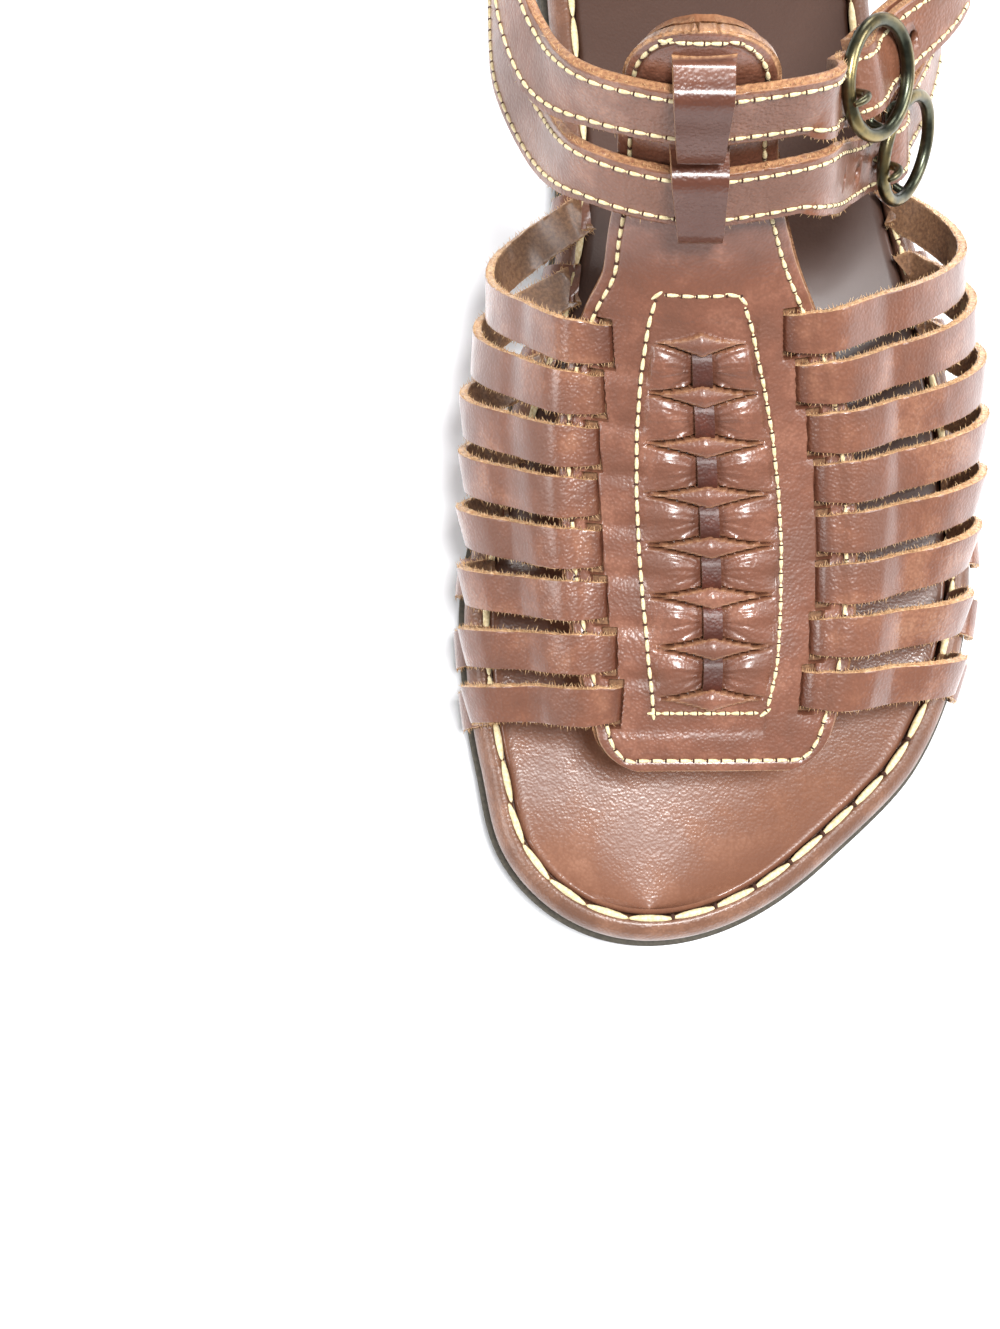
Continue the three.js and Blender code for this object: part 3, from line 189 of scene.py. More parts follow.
# Foot under the upper: place along the panel, crest (x, y, z), height of the widest place, inner and
# outer half widths, and where the inner and outer sides meet the sole
FOOT = [
    (0.0, -0.03, 0.128, 0.265, 0.17, -0.43, 0.43, 0.115, 0.13),
    (0.14, -0.018, 0.197, 0.325, 0.2, -0.447, 0.455, 0.205, 0.215),
    (0.277, -0.026, 0.268, 0.376, 0.235, -0.453, 0.48, 0.318, 0.328),
    (0.411, -0.04, 0.336, 0.44, 0.265, -0.452, 0.488, 0.43, 0.438),
    (0.535, -0.056, 0.395, 0.52, 0.295, -0.41, 0.455, 0.545, 0.538),
    (0.646, -0.07, 0.447, 0.615, 0.33, -0.375, 0.41, 0.62, 0.62),
    (0.768, -0.085, 0.478, 0.742, 0.37, -0.36, 0.38, 0.67, 0.65),
    (0.894, -0.1, 0.5, 0.875, 0.42, -0.355, 0.37, 0.7, 0.68),
    (1.0, -0.114, 0.523, 1.062, 0.46, -0.35, 0.355, 0.72, 0.7),
]

# Panel: share of its length, inner and outer half widths and the line of the slots
PANEL = [
    (0.0, 0.175, 0.213, 0.16),
    (0.062, 0.203, 0.229, 0.166),
    (0.131, 0.235, 0.247, 0.178),
    (0.254, 0.257, 0.262, 0.2),
    (0.33, 0.258, 0.262, 0.201),
    (0.4, 0.255, 0.257, 0.193),
    (0.51, 0.222, 0.227, 0.162),
    (0.565, 0.189, 0.193, 0.142),
    (0.62, 0.152, 0.164, 0.12),
    (0.668, 0.142, 0.147, 0.11),
    (0.77, 0.121, 0.121, 0.08),
    (1.0, 0.108, 0.108, 0.07),
]

# Side strap out of its slot: distance past the slot and height over the foot
STRAP_START = [
    (-0.6, PANEL_UNDER - 0.3), (-0.2, STRAP_LIFT - 2.4), (0.8, STRAP_LIFT - 1.3), (2.8, STRAP_LIFT - 0.65),
    (4.4, STRAP_LIFT + 0.2),
]
WALL_STEPS = 14

# Tail of a side strap: distance inward from the rim, share of the rand's height and height over that
TAIL_CLEAR = GAP + 0.4 + TAIL_THICK / 2
STRAP_TAIL = [
    (RIM_WIDTH + 0.3, 1.0, TAIL_CLEAR + 0.8), (RIM_WIDTH - 0.6, 1.0, TAIL_CLEAR + 0.25),
    (RIM_WIDTH - 1.6, 1.0, TAIL_CLEAR + 0.1), (3.2, 1.0, TAIL_CLEAR),
    (1.5 - TAIL_CLEAR * 0.6, 0.9, TAIL_CLEAR * 0.8), (0.4 - TAIL_CLEAR * 0.95, 0.7, TAIL_CLEAR * 0.4),
    (-TAIL_CLEAR, 0.45, 0.2), (0.05 - TAIL_CLEAR, 0.22, 0),
]

# Lace: distance from a bridge's middle, whether it is up at the panel's face, and height over that level
LACE_WAVE = [
    (-3.2, True, 0), (-2.3, True, -0.3), (-1.3, False, 0.3), (0, False, 0), (1.3, False, 0.3),
    (2.3, True, -0.3), (3.2, True, 0),
]

# Stitched window: distance along the panel and its half width there
WINDOW_STITCH = [(11.2, 10.0), (20, 11.3), (31, 12.0), (41, 12.3), (51, 12.1), (61, 11.4), (70, 10.2),
                 (81, 8.2), (87.5, 6.4)]

# Ankle straps: turn from the toe side (degrees), reach, height and lean
ANKLE_HALF_LENGTH = 0.2275 * LENGTH
ANKLE_AXIS = (-2.0, 0.7216 * LENGTH)
LOWER_ROUTE = [
    (-180, 1.06, 0.56, 6), (-164, 1.0, 0.555, 6), (-143, 0.83, 0.54, 7), (-112, 0.66, 0.52, 9),
    (-82, 0.655, 0.525, 13), (-62, 0.735, 0.542, 20), (-47, 0.86, 0.59, 27), (-32.5, 1.005, 0.655, 28),
]
LOWER_RING_ROUTE = [
    (20.5, 1.0, 0.63, 30), (31, 0.943, 0.57, 32), (42.7, 0.872, 0.53, 27), (58, 0.79, 0.5, 18),
    (90, 0.7, 0.49, 9), (120, 0.73, 0.52, 7), (145, 0.84, 0.545, 6), (164, 1.0, 0.555, 6),
    (180, 1.06, 0.56, 6),
]
UPPER_ROUTE = [
    (-180, 1.0, 0.79, 5), (-163, 0.94, 0.785, 5), (-141, 0.77, 0.77, 6), (-105, 0.62, 0.755, 8),
    (-74, 0.63, 0.76, 13), (-52.4, 0.799, 0.775, 22), (-36.4, 0.947, 0.815, 30),
]
UPPER_RING_ROUTE = [
    (15.5, 0.898, 0.82, 40), (23, 0.841, 0.765, 48), (35.3, 0.793, 0.74, 44), (55, 0.777, 0.715, 28),
    (88, 0.675, 0.705, 11), (120, 0.68, 0.74, 7), (143, 0.78, 0.77, 6), (163, 0.94, 0.785, 5),
    (180, 1.0, 0.79, 5),
]


class Column:
    """A smooth curve through one column of a table, level wherever the column turns"""

    def __init__(self, rows, place):
        self.at = np.array([row[0] for row in rows], float)
        self.value = np.array([row[place] for row in rows], float)
        rise = np.diff(self.value) / np.diff(self.at)
        self.slope = np.concatenate([rise[:1], np.zeros(len(rows) - 2), rise[-1:]])
        for i in range(1, len(rows) - 1):
            before, after = rise[i - 1], rise[i]
            if before * after > 0:
                self.slope[i] = 2 * before * after / (before + after)

    def __call__(self, at):
        at = np.asarray(at, float)
        i = np.clip(np.searchsorted(self.at, at) - 1, 0, len(self.at) - 2)
        span = self.at[i + 1] - self.at[i]
        t = (at - self.at[i]) / span
        climb = self.value[i + 1] - self.value[i]
        bend = self.slope[i] * span - climb
        unbend = climb - self.slope[i + 1] * span
        return self.value[i] + t * climb + t * (1 - t) * (bend * (1 - t) + unbend * t)


centre, inner_half, outer_half = (Column(SOLE, k) for k in range(1, 4))
ground_share, parting_share, rim_share = (Column(SOLE, k) for k in range(4, 7))
foot = [Column(FOOT, k) for k in range(1, 9)]
panel_inner, panel_outer, panel_slot = (Column(PANEL, k) for k in range(1, 4))


def unit(vectors):
    """Vectors of length one"""
    length = np.linalg.norm(vectors, axis=-1, keepdims=True)
    return vectors / np.maximum(length, 1e-9)


def rounded(near, reach):
    """Share of the full half width near a rounded end"""
    left = 1 - np.minimum(near / reach, 1)
    return np.sqrt(np.maximum(1 - left * left, 0))


def smooth(value):
    """Eases a value from 0 to 1"""
    value = np.clip(value, 0, 1)
    return value * value * (3 - 2 * value)


def bell(value, width):
    """A soft hump of height 1 about zero"""
    return np.exp(-((value / width) ** 2))


def run_along(points):
    """Distance along a line at each of its points"""
    return np.concatenate([[0], np.cumsum(np.linalg.norm(np.diff(points, axis=0), axis=1))])


def read_rows(want, at, rows):
    """Rows of values read at new places, each column on its own"""
    return np.stack([np.interp(want, at, rows[:, k]) for k in range(rows.shape[1])], -1)


# The sole's outline
STATIONS = 150
_turn = np.arange(2 * STATIONS)
_step = np.where(_turn <= STATIONS, _turn, 2 * STATIONS - _turn)
RING_AT = (1 - np.cos(np.pi * _step / STATIONS)) / 2
RING_SIDE = np.where(_turn <= STATIONS, 1, -1)


def outline(at, side):
    """Points of the rim's outline at shares of the length, on the outer (1) or inner (-1) side"""
    round_off = rounded(at, TOE_ROUND) * rounded(1 - at, HEEL_ROUND)
    half = np.where(side > 0, outer_half(at), -inner_half(at))
    return np.stack([(centre(at) + half * round_off) * BALL_WIDTH, at * LENGTH], -1)


RING = outline(RING_AT, RING_SIDE)
_along = unit(np.roll(RING, -1, 0) - np.roll(RING, 1, 0))
RING_INWARD = np.stack([-_along[:, 1], _along[:, 0]], -1)


def sole_ring(inset, height):
    """The outline moved inward, with a height at each point"""
    flat = RING + RING_INWARD * np.reshape(inset, (-1, 1))
    return np.column_stack([flat, np.broadcast_to(height, len(flat))])


def edge_point(at, side, inset):
    """A point of the outline moved inward, and the outline's direction there"""
    step = 0.002
    direction = unit(outline(at + step, side) - outline(at - step, side))
    inward = np.array([-direction[1] * side, direction[0] * side])
    return outline(at, side) + inward * inset, direction


def rim(at):
    return rim_share(at) * HEEL_RIM


def parting(at):
    return parting_share(at) * HEEL_RIM


SHIFT = np.array([
    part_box("outsole")[0].x / MM - sole_ring(-OUTSOLE_PROUD, 0)[:, 0].min(),
    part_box("outsole")[0].y / MM + OUTSOLE_PROUD,
    0,
])


# The foot that the upper lies on
SECTION_STEPS = 80
section_store = {}


def crest(share):
    return np.stack([foot[0](share) * BALL_WIDTH, foot[1](share) * LENGTH, foot[2](share) * INSTEP_RISE], -1)


def root_share(share, side):
    return float(foot[7](share) if side > 0 else foot[6](share))


def section(share, side):
    """One side of a section of the foot from crest to root, with distances from the crest"""
    key = (round(share, 6), side)
    if key in section_store:
        return section_store[key]
    top = crest(share)
    low = root_share(share, side)
    root = np.array([*edge_point(low, side, RIM_WIDTH + 0.7)[0], rim(low) + 3])
    belly = foot[3](share) * INSTEP_RISE
    half = abs((foot[5] if side > 0 else foot[4])(share) * BALL_WIDTH - top[0])
    tuck = math.acos(min(abs(root[0] - top[0]) / half, 1))
    t = np.linspace(0, 1, SECTION_STEPS + 1)
    turn = np.pi / 2 - t * (np.pi / 2 + tuck)
    flare = np.where(turn > 0, 0.92, 1)
    x = top[0] + side * half * np.maximum(np.cos(turn), 0) ** flare
    up = np.where(turn > 0, (top[2] - belly) * np.maximum(np.sin(turn), 0) ** 0.95, 0)
    down = np.where(turn < 0, (belly - root[2]) * np.sin(turn) / max(math.sin(tuck), 1e-6), 0)
    y = top[1] + (root[1] - top[1]) * t ** 1.6
    points = np.column_stack([x, y, belly + up + down])
    run = run_along(points)
    section_store[key] = (points, run)
    return section_store[key]


CREST_STEPS = 200
CREST_SHARES = np.linspace(0, 1, CREST_STEPS + 1)
CREST_RUN = run_along(crest(CREST_SHARES))
PANEL_LENGTH = CREST_RUN[-1]


def share_along(distance):
    """Share of the panel's length at a distance along it, also just beyond its end"""
    step = CREST_RUN[-1] - CREST_RUN[-2]
    beyond = max(distance - PANEL_LENGTH, 0) / step / CREST_STEPS
    return float(np.interp(distance, CREST_RUN, CREST_SHARES)) + beyond


def on_section(along, across):
    """Points on the foot at one distance along the panel and distances across it"""
    across = np.atleast_1d(across)
    share = share_along(along)
    out = np.empty((len(across), 3))
    for side in (-1, 1):
        chosen = (across < 0) if side < 0 else (across >= 0)
        points, run = section(share, side)
        out[chosen] = read_rows(np.abs(across[chosen]), run, points)
    return out


def on_foot(along, across, lift):
    """Place, outward normal, direction along and direction across on the foot"""
    step = 0.4
    forward = unit(on_section(along + step, across)[0] - on_section(along - step, across)[0])
    side = unit(np.subtract(*on_section(along, np.array([across + step, across - step]))))
    normal = unit(np.cross(side, forward))
    return on_section(along, across)[0] + normal * lift, normal, forward, side


def foot_grid(alongs, across):
    """Points and outward normals on the foot for a grid of places"""
    points = np.array([on_section(a, x) for a, x in zip(alongs, across)])
    forward = np.gradient(points, axis=0)
    side = np.gradient(points, axis=1)
    return points, unit(np.cross(side, forward))


def panel_edge(along, side):
    """Half width of the panel with its rounded corners"""
    at = along / PANEL_LENGTH
    base = np.where(np.asarray(side) < 0, panel_inner(at), panel_outer(at)) * BALL_WIDTH
    toe = TOE_CORNER * (1 - rounded(along, TOE_CORNER))
    return (base - toe) * rounded(PANEL_LENGTH - along, TONGUE_ROUND * base)


def strap_along(i, side):
    return FIRST_STRAP + i * STRAP_PITCH + side * STRAP_STAGGER


def slot_across(along):
    return float(panel_slot(along / PANEL_LENGTH)) * BALL_WIDTH


# Meshes
def add_object(name, data):
    obj = bpy.data.objects.new(name, data)
    bpy.context.scene.collection.objects.link(obj)
    return obj


def keep_result(obj):
    """Replaces an object's mesh by the plain mesh that its modifier makes of it"""
    depsgraph = bpy.context.evaluated_depsgraph_get()
    result = bpy.data.meshes.new_from_object(obj.evaluated_get(depsgraph))
    obj.modifiers.clear()
    obj.data = result


def make_piece(name, part, material):
    """A smooth mesh object, faces outward, with its point marks as attributes"""
    points, faces, marks = part
    mesh = bpy.data.meshes.new(name)
    mesh.from_pydata(((np.asarray(points) + SHIFT) * MM).tolist(), [], faces)
    mesh.validate()
    for mark, values in marks.items():
        layer = mesh.attributes.new(mark, "FLOAT", "POINT")
        layer.data.foreach_set("value", np.asarray(values, np.float32))
    if signed_volume(mesh) < 0:
        mesh.flip_normals()
    mesh.shade_smooth()
    mesh.set_sharp_from_angle(angle=math.radians(SHARP_TURN))
    mesh.materials.append(material)
    return add_object(name, mesh)


def signed_volume(mesh):
    mesh.calc_loop_triangles()
    corners = np.empty(len(mesh.loop_triangles) * 3, np.int32)
    mesh.loop_triangles.foreach_get("vertices", corners)
    places = np.empty(len(mesh.vertices) * 3, np.float32)
    mesh.vertices.foreach_get("co", places)
    a, b, c = places.reshape(-1, 3)[corners.reshape(-1, 3)].astype(float).transpose(1, 0, 2)
    return float(np.einsum("ij,ij->i", a, np.cross(b, c)).sum())


def finish_piece(obj, slot, *nodes):
    """The piece rides on the only body and stands for its solids"""
    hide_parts(*nodes)
    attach(obj, "root")


def ring_faces(rows, count, start=0):
    """Faces of closed rings listed one after another"""
    faces = []
    for r in range(rows - 1):
        a = start + r * count
        b = a + count
        faces += [(a + i, a + (i + 1) % count, b + (i + 1) % count, b + i) for i in range(count)]
    return faces


def join_rows(first, second):
    """Faces between two rows of points with different counts"""
    faces = []
    i = j = 0
    while i < len(first) - 1 or j < len(second) - 1:
        first_next = (i + 1) * (len(second) - 1) <= (j + 1) * (len(first) - 1)
        if i < len(first) - 1 and (first_next or j == len(second) - 1):
            faces.append((first[i], first[i + 1], second[j]))
            i += 1
        else:
            faces.append((first[i], second[j + 1], second[j]))
            j += 1
    return faces


def slab(top, low):
    """A closed shell between an upper and a lower grid with the same rows"""
    n, m = top.shape[:2]
    k = low.shape[1]
    over = np.arange(n * m).reshape(n, m)
    under = n * m + np.arange(n * k).reshape(n, k)
    faces = []
    for r in range(n - 1):
        faces += [(over[r, c], over[r, c + 1], over[r + 1, c + 1], over[r + 1, c]) for c in range(m - 1)]
        faces += [(under[r, c], under[r + 1, c], under[r + 1, c + 1], under[r, c + 1]) for c in range(k - 1)]
        faces.append((under[r, 0], over[r, 0], over[r + 1, 0], under[r + 1, 0]))
        faces.append((over[r, -1], under[r, -1], under[r + 1, -1], over[r + 1, -1]))
    faces += join_rows(list(under[0]), list(over[0]))
    faces += join_rows(list(over[-1]), list(under[-1]))
    points = np.concatenate([top.reshape(-1, 3), low.reshape(-1, 3)])
    return points, [tuple(int(v) for v in face) for face in faces]


def resample(points, extras, spacing):
    """Even points on a smooth curve through points, with values carried along"""
    points = np.asarray(points, float)
    ends = [2 * points[0] - points[1]], [2 * points[-1] - points[-2]]
    full = np.concatenate([ends[0], points, ends[1]])
    dense = []
    places = []
    steps = 24
    for i in range(len(points) - 1):
        p0, p1, p2, p3 = full[i:i + 4]
        d0, d1, d2 = (max(np.linalg.norm(b - a), 1e-6) ** 0.5 for a, b in ((p0, p1), (p1, p2), (p2, p3)))
        m1 = ((p1 - p0) / d0 - (p2 - p0) / (d0 + d1) + (p2 - p1) / d1) * d1
        m2 = ((p2 - p1) / d1 - (p3 - p1) / (d1 + d2) + (p3 - p2) / d2) * d1
        for k in range(steps):
            t = k / steps
            dense.append(p1 * (2 * t**3 - 3 * t**2 + 1) + m1 * (t**3 - 2 * t**2 + t)
                         + p2 * (3 * t**2 - 2 * t**3) + m2 * (t**3 - t**2))
            places.append(i + t)
    dense = np.array(dense + [points[-1]])
    places = np.array(places + [len(points) - 1.0])
    run = run_along(dense)
    count = max(int(round(run[-1] / spacing)), 2)
    want = np.linspace(0, run[-1], count + 1)
    where = np.interp(want, run, places)
    carried = []
    for values in extras:
        values = np.asarray(values, float).reshape(len(points), -1)
        carried.append(read_rows(where, np.arange(len(points)), values))
    return read_rows(want, run, dense), carried


def strap_profile(layers):
    """One turn round a strap's section: places across and up (-1 to 1), cut edge and flesh side.
    Two layers leave a groove along each edge."""
    groove = 0.016 if layers == 2 else 0.0
    top = [(u, 1 + 0.06 * (1 - u * u), 0, 0) for u in (0.985, 0.93, 0.8, 0.5, 0, -0.5, -0.8, -0.93, -0.985)]
    left = [(-1, 0.8, 0.9, 0), (-1.01, 0.45, 1, 0), (groove - 1, 0.02, 1, 0), (-1.01, -0.4, 1, 0),
            (-1, -0.8, 1, 0.2)]
    low = [(u, -1, 0.2 if abs(u) > 0.97 else 0, 1) for u in (-0.98, -0.85, -0.3, 0.3, 0.85, 0.98)]
    right = [(-u, v, edge, under) for u, v, edge, under in reversed(left)]
    return top + left + low + right


def ribbon(points, across, normals, widths, thicks, layers=1, ragged=0.0, seed=1, dark=None):
    """A strap with rounded edges along a path, with its marks. The cut edges of a ragged one are rough
    by that many millimetres."""
    profile = np.array(strap_profile(layers))
    rng = np.random.default_rng(seed)
    n = len(points)
    wobble = np.zeros((n, len(profile)))
    if ragged:
        rough = rng.normal(0, 1, (n, 2))
        rough = rough + np.roll(rough, 1, 0) * 0.7
        wobble = np.where(profile[:, 0] < 0, rough[:, :1], rough[:, 1:]) * (profile[:, 2] > 0.3) * ragged
    u = profile[:, 0] * np.reshape(widths, (-1, 1)) / 2 + np.sign(profile[:, 0]) * wobble
    v = profile[:, 1] * np.reshape(thicks, (-1, 1)) / 2
    rows = points[:, None] + across[:, None] * u[..., None] + normals[:, None] * v[..., None]
    count = len(profile)
    faces = ring_faces(n, count)
    faces.append(tuple(range(count - 1, -1, -1)))
    faces.append(tuple(range((n - 1) * count, n * count)))
    edge = np.tile(profile[:, 2], n).reshape(n, count)
    edge[[0, -1]] = 1
    marks = {"edge": edge.ravel(), "under": np.tile(profile[:, 3], n)}
    if dark is not None:
        marks["dark"] = np.repeat(dark, count)
    return rows.reshape(-1, 3), faces, marks


def frames_along(points, widths, outward):
    """Width directions and normals square to a path, normals on the side of outward"""
    tangent = unit(np.gradient(points, axis=0))
    across = unit(widths - tangent * np.sum(widths * tangent, 1, keepdims=True))
    normal = unit(np.cross(tangent, across))
    if np.dot(normal[len(points) // 2], outward) < 0:
        normal = -normal
    return across, normal


def merge(parts):
    """Joins (points, faces, marks) lists into one"""
    points, faces, marks = [], [], {}
    start = 0
    for part in parts:
        points.append(part[0])
        faces += [tuple(v + start for v in face) for face in part[1]]
        start += len(part[0])
    for mark in ("edge", "under", "dark"):
        marks[mark] = np.concatenate([np.asarray(p[2].get(mark, np.zeros(len(p[0])))) for p in parts])
    return np.concatenate(points), faces, marks


def tube(points, radii, sides=12):
    """A round bar along a path, closed at both ends"""
    across, normal = frames_along(points, np.tile([0.31, 0.22, 0.93], (len(points), 1)), np.array([0, 0, 1]))
    turn = 2 * np.pi * np.arange(sides) / sides
    ring = across[:, None] * np.cos(turn)[:, None] + normal[:, None] * np.sin(turn)[:, None]
    rows = points[:, None] + ring * np.reshape(radii, (-1, 1, 1))
    n = len(points)
    faces = ring_faces(n, sides) + [tuple(range(sides - 1, -1, -1)), tuple(range((n - 1) * sides, n * sides))]
    return rows.reshape(-1, 3), faces, {}


# Materials
def linear(hex_value):
    """An sRGB hex colour as linear RGBA"""
    parts = [int(hex_value[k:k + 2], 16) / 255 for k in (1, 3, 5)]
    return tuple(c / 12.92 if c <= 0.04045 else ((c + 0.055) / 1.055) ** 2.4 for c in parts) + (1.0,)


def add(tree, kind, settings=None, inputs=None):
    """A node with its settings, its values and its links"""
    node = tree.nodes.new(kind)
    for key, value in (settings or {}).items():
        setattr(node, key, value)
    for key, value in (inputs or {}).items():
        if isinstance(value, bpy.types.NodeSocket):
            tree.links.new(value, node.inputs[key])
        else:
            node.inputs[key].default_value = value
    return node


def new_material(name):
    material = bpy.data.materials.new(name)
    material.use_nodes = True
    material.node_tree.nodes.clear()
    return material, material.node_tree


def mix(tree, amount, first, second):
    """The colour between two colours, by an amount"""
    return add(tree, "ShaderNodeMix", {"data_type": "RGBA"}, {0: amount, 6: first, 7: second}).outputs[2]


def mark(tree, name):
    return add(tree, "ShaderNodeAttribute", {"attribute_name": name}).outputs["Fac"]


def math_node(tree, operation, first, second):
    return add(tree, "ShaderNodeMath", {"operation": operation}, {0: first, 1: second}).outputs[0]


def times(tree, first, second):
    return math_node(tree, "MULTIPLY", first, second)


def spread(tree, value, low, high, to_low, to_high):
    """A value moved from one range to another and held there"""
    inputs = {"Value": value, "From Min": low, "From Max": high, "To Min": to_low, "To Max": to_high}
    return add(tree, "ShaderNodeMapRange", {"clamp": True}, inputs).outputs["Result"]


def noise(tree, coords, scale, detail=3.0, rough=0.55):
    inputs = {"Vector": coords, "Scale": scale, "Detail": detail, "Roughness": rough}
    return add(tree, "ShaderNodeTexNoise", None, inputs).outputs["Fac"]


def leather(name, base, shade, light, gloss=0.42, grain=0.45, heel_shade=0.0, coat=0.25,
            edges=("#B27C50", "#EBC698"), shine=0.5):
    """Waxed full-grain cowhide, cut and burnished: soft broad shine, pores about 0.6 mm, pale fuzzy cut
    edges, a dull flesh side and colour that drifts in patches where the wax has been rubbed"""
    material, tree = new_material(name)
    coords = add(tree, "ShaderNodeTexCoord").outputs["Object"]
    patches = noise(tree, coords, 95, 5)
    streaks = noise(tree, coords, 420, 3)
    colour = mix(tree, spread(tree, patches, 0.38, 0.62, 0, 1), linear(shade), linear(base))
    colour = mix(tree, spread(tree, patches, 0.52, 0.75, 0, 0.7), colour, linear(light))
    colour = mix(tree, spread(tree, streaks, 0.35, 0.75, 0, 0.35), colour, linear(shade))
    pores = add(tree, "ShaderNodeTexVoronoi", {"feature": "SMOOTH_F1"}, {"Vector": coords, "Scale": 1900.0})
    specks = spread(tree, pores.outputs["Distance"], 0.25, 0.6, 0, 0.45)
    colour = mix(tree, specks, colour, linear(shade))
    # Painted shade: the footbed's colour darkens towards the heel, where the ankle straps shade it; the same
    # mask also makes it rougher there
    wear_and_heel_shade = 0.0
    if heel_shade:
        place = add(tree, "ShaderNodeSeparateXYZ", None, {0: coords}).outputs["Y"]
        wear_and_heel_shade = spread(tree, place, -0.085, -0.02, 0, heel_shade)
        colour = mix(tree, wear_and_heel_shade, colour, linear("#3A2115"))
    # Darker where marked dark: painted shade in the panel's slots, slits and hollows and at the side straps'
    # ends, a darker line along the panel's border seam, and the keepers' darker burnish
    colour = mix(tree, mark(tree, "dark"), colour, linear("#4A2417"))
    fuzz = noise(tree, coords, 1500, 2)
    flesh = mix(tree, spread(tree, fuzz, 0.35, 0.65, 0, 1), linear("#65442C"), linear("#866142"))
    colour = mix(tree, mark(tree, "under"), colour, flesh)
    edge_colour = mix(tree, spread(tree, fuzz, 0.3, 0.7, 0, 1), linear(edges[0]), linear(edges[1]))
    edge = mark(tree, "edge")
    colour = mix(tree, edge, colour, edge_colour)
    folds = noise(tree, coords, 260, 4)
    height = math_node(tree, "ADD", times(tree, pores.outputs["Distance"], 0.8), times(tree, folds, 1.3))
    height = math_node(tree, "ADD", height, times(tree, times(tree, fuzz, edge), 3.0))
    bump = add(tree, "ShaderNodeBump", None, {"Strength": grain, "Distance": 0.00035, "Height": height})
    rough = spread(tree, patches, 0.35, 0.65, gloss + 0.1, gloss - 0.08)
    for place, least in ((edge, 0.85), (wear_and_heel_shade, 0.7), (mark(tree, "under"), 0.8)):
        rough = math_node(tree, "MAXIMUM", rough, times(tree, place, least))
    shader = add(tree, "ShaderNodeBsdfPrincipled", None, {
        "Base Color": colour, "Roughness": rough, "Normal": bump.outputs[0], "IOR": 1.5,
        "Specular IOR Level": shine, "Coat Weight": coat, "Coat Roughness": 0.2})
    add(tree, "ShaderNodeOutputMaterial", None, {0: shader.outputs[0]})
    return material


def plain(name, first, second, scale, roughness, bump_size, metallic=0.0, rubbed=None):
    """Thread, rubber and metal: two colours mixed by a fine noise, with a bump of the same size"""
    material, tree = new_material(name)
    coords = add(tree, "ShaderNodeTexCoord").outputs["Object"]
    grain = noise(tree, coords, scale, 3)
    colour = mix(tree, spread(tree, grain, 0.35, 0.65, 0, 1), linear(first), linear(second))
    if rubbed:
        wear_and_heel_shade = times(tree, mark(tree, "edge"), spread(tree, noise(tree, coords, 300), 0.4, 0.6, 0.2, 1))
        colour = mix(tree, wear_and_heel_shade, colour, linear(rubbed))
    bump = add(tree, "ShaderNodeBump", None, {"Strength": 0.5, "Distance": bump_size, "Height": grain})
    shader = add(tree, "ShaderNodeBsdfPrincipled", None, {
        "Base Color": colour, "Roughness": roughness, "Metallic": metallic, "Normal": bump.outputs[0]})
    add(tree, "ShaderNodeOutputMaterial", None, {0: shader.outputs[0]})
    return material


def make_materials():
    """Every finish of the sandal, once"""
    return {
        # Strap leather: waxed cowhide, glossy on the bends
        "strap": leather("waxed_strap_leather", "#84543F", "#6A4231", "#A87C62", 0.34, 0.42, 0.0, 0.75),
        # Ankle strap leather: two layers with burnished edges
        "ankle": leather("waxed_ankle_leather", "#875741", "#6E4633", "#A87C64", 0.34, 0.42, 0.0, 0.3,
                         ("#84563A", "#B5875E")),
        # Panel leather: the same hide, a little more even
        "panel": leather("waxed_panel_leather", "#815240", "#684131", "#A07460", 0.36, 0.38, 0.0, 0.45,
                         ("#84583A", "#BA8E66")),
        # Footbed: smooth vegetable-tanned sheet, with painted shade that darkens it towards the heel
        "footbed": leather("footbed_leather", "#805845", "#714A38", "#936A56", 0.27, 0.16, 0.92, 0.3,
                           shine=0.4),
        # Rand: thin leather turned over the midsole's edge
        "rand": leather("rand_leather", "#825C48", "#694736", "#9E7660", 0.4, 0.45),
        # Lace: narrow thong dyed dark red-brown
        "lace": leather("dyed_lace_leather", "#542618", "#3C1A10", "#6A3424", 0.5, 0.4, 0.0, 0.05),
        # Lining: undyed suede split, dull
        "lining": leather("split_lining_leather", "#8A5C3C", "#6E452C", "#A47852", 0.7, 0.6, 0.0, 0.0,
                          ("#76503A", "#A27A58"), 0.3),
        # Waxed linen thread in two weights: pale cream, ply about 0.3 mm
        "thread": plain("waxed_linen_thread", "#EBDDB6", "#CDB988", 2600, 0.6, 0.0001),
        "cord": plain("rim_stitch_cord", "#EDDFB8", "#D2BD8A", 1700, 0.55, 0.00022),
        # Needle holes: painted shade in the dent beside each stitch
        "hole": plain("needle_hole_shade", "#3A2218", "#4A2C1E", 900, 0.9, 0.0001),
        # Cut fibres: pale hairs of the hide's cut edge
        "fibre": plain("hide_fibres", "#E8C79A", "#B98B5C", 900, 0.9, 0.0001),
        # Outsole: moulded crepe-like rubber, matt grey-brown
        "rubber": plain("moulded_rubber", "#3F3B33", "#514C42", 1200, 0.78, 0.0002),
        # Buckle: antiqued brass, dark in the plating and bright where it rubs
        "metal": plain("antiqued_brass", "#3E4138", "#55584A", 500, 0.3, 0.00008, 1.0, "#96855A"),
    }


# Geometry Nodes for what repeats
def socket_id(tree, name):
    return next(item.identifier for item in tree.interface.items_tree if item.name == name)


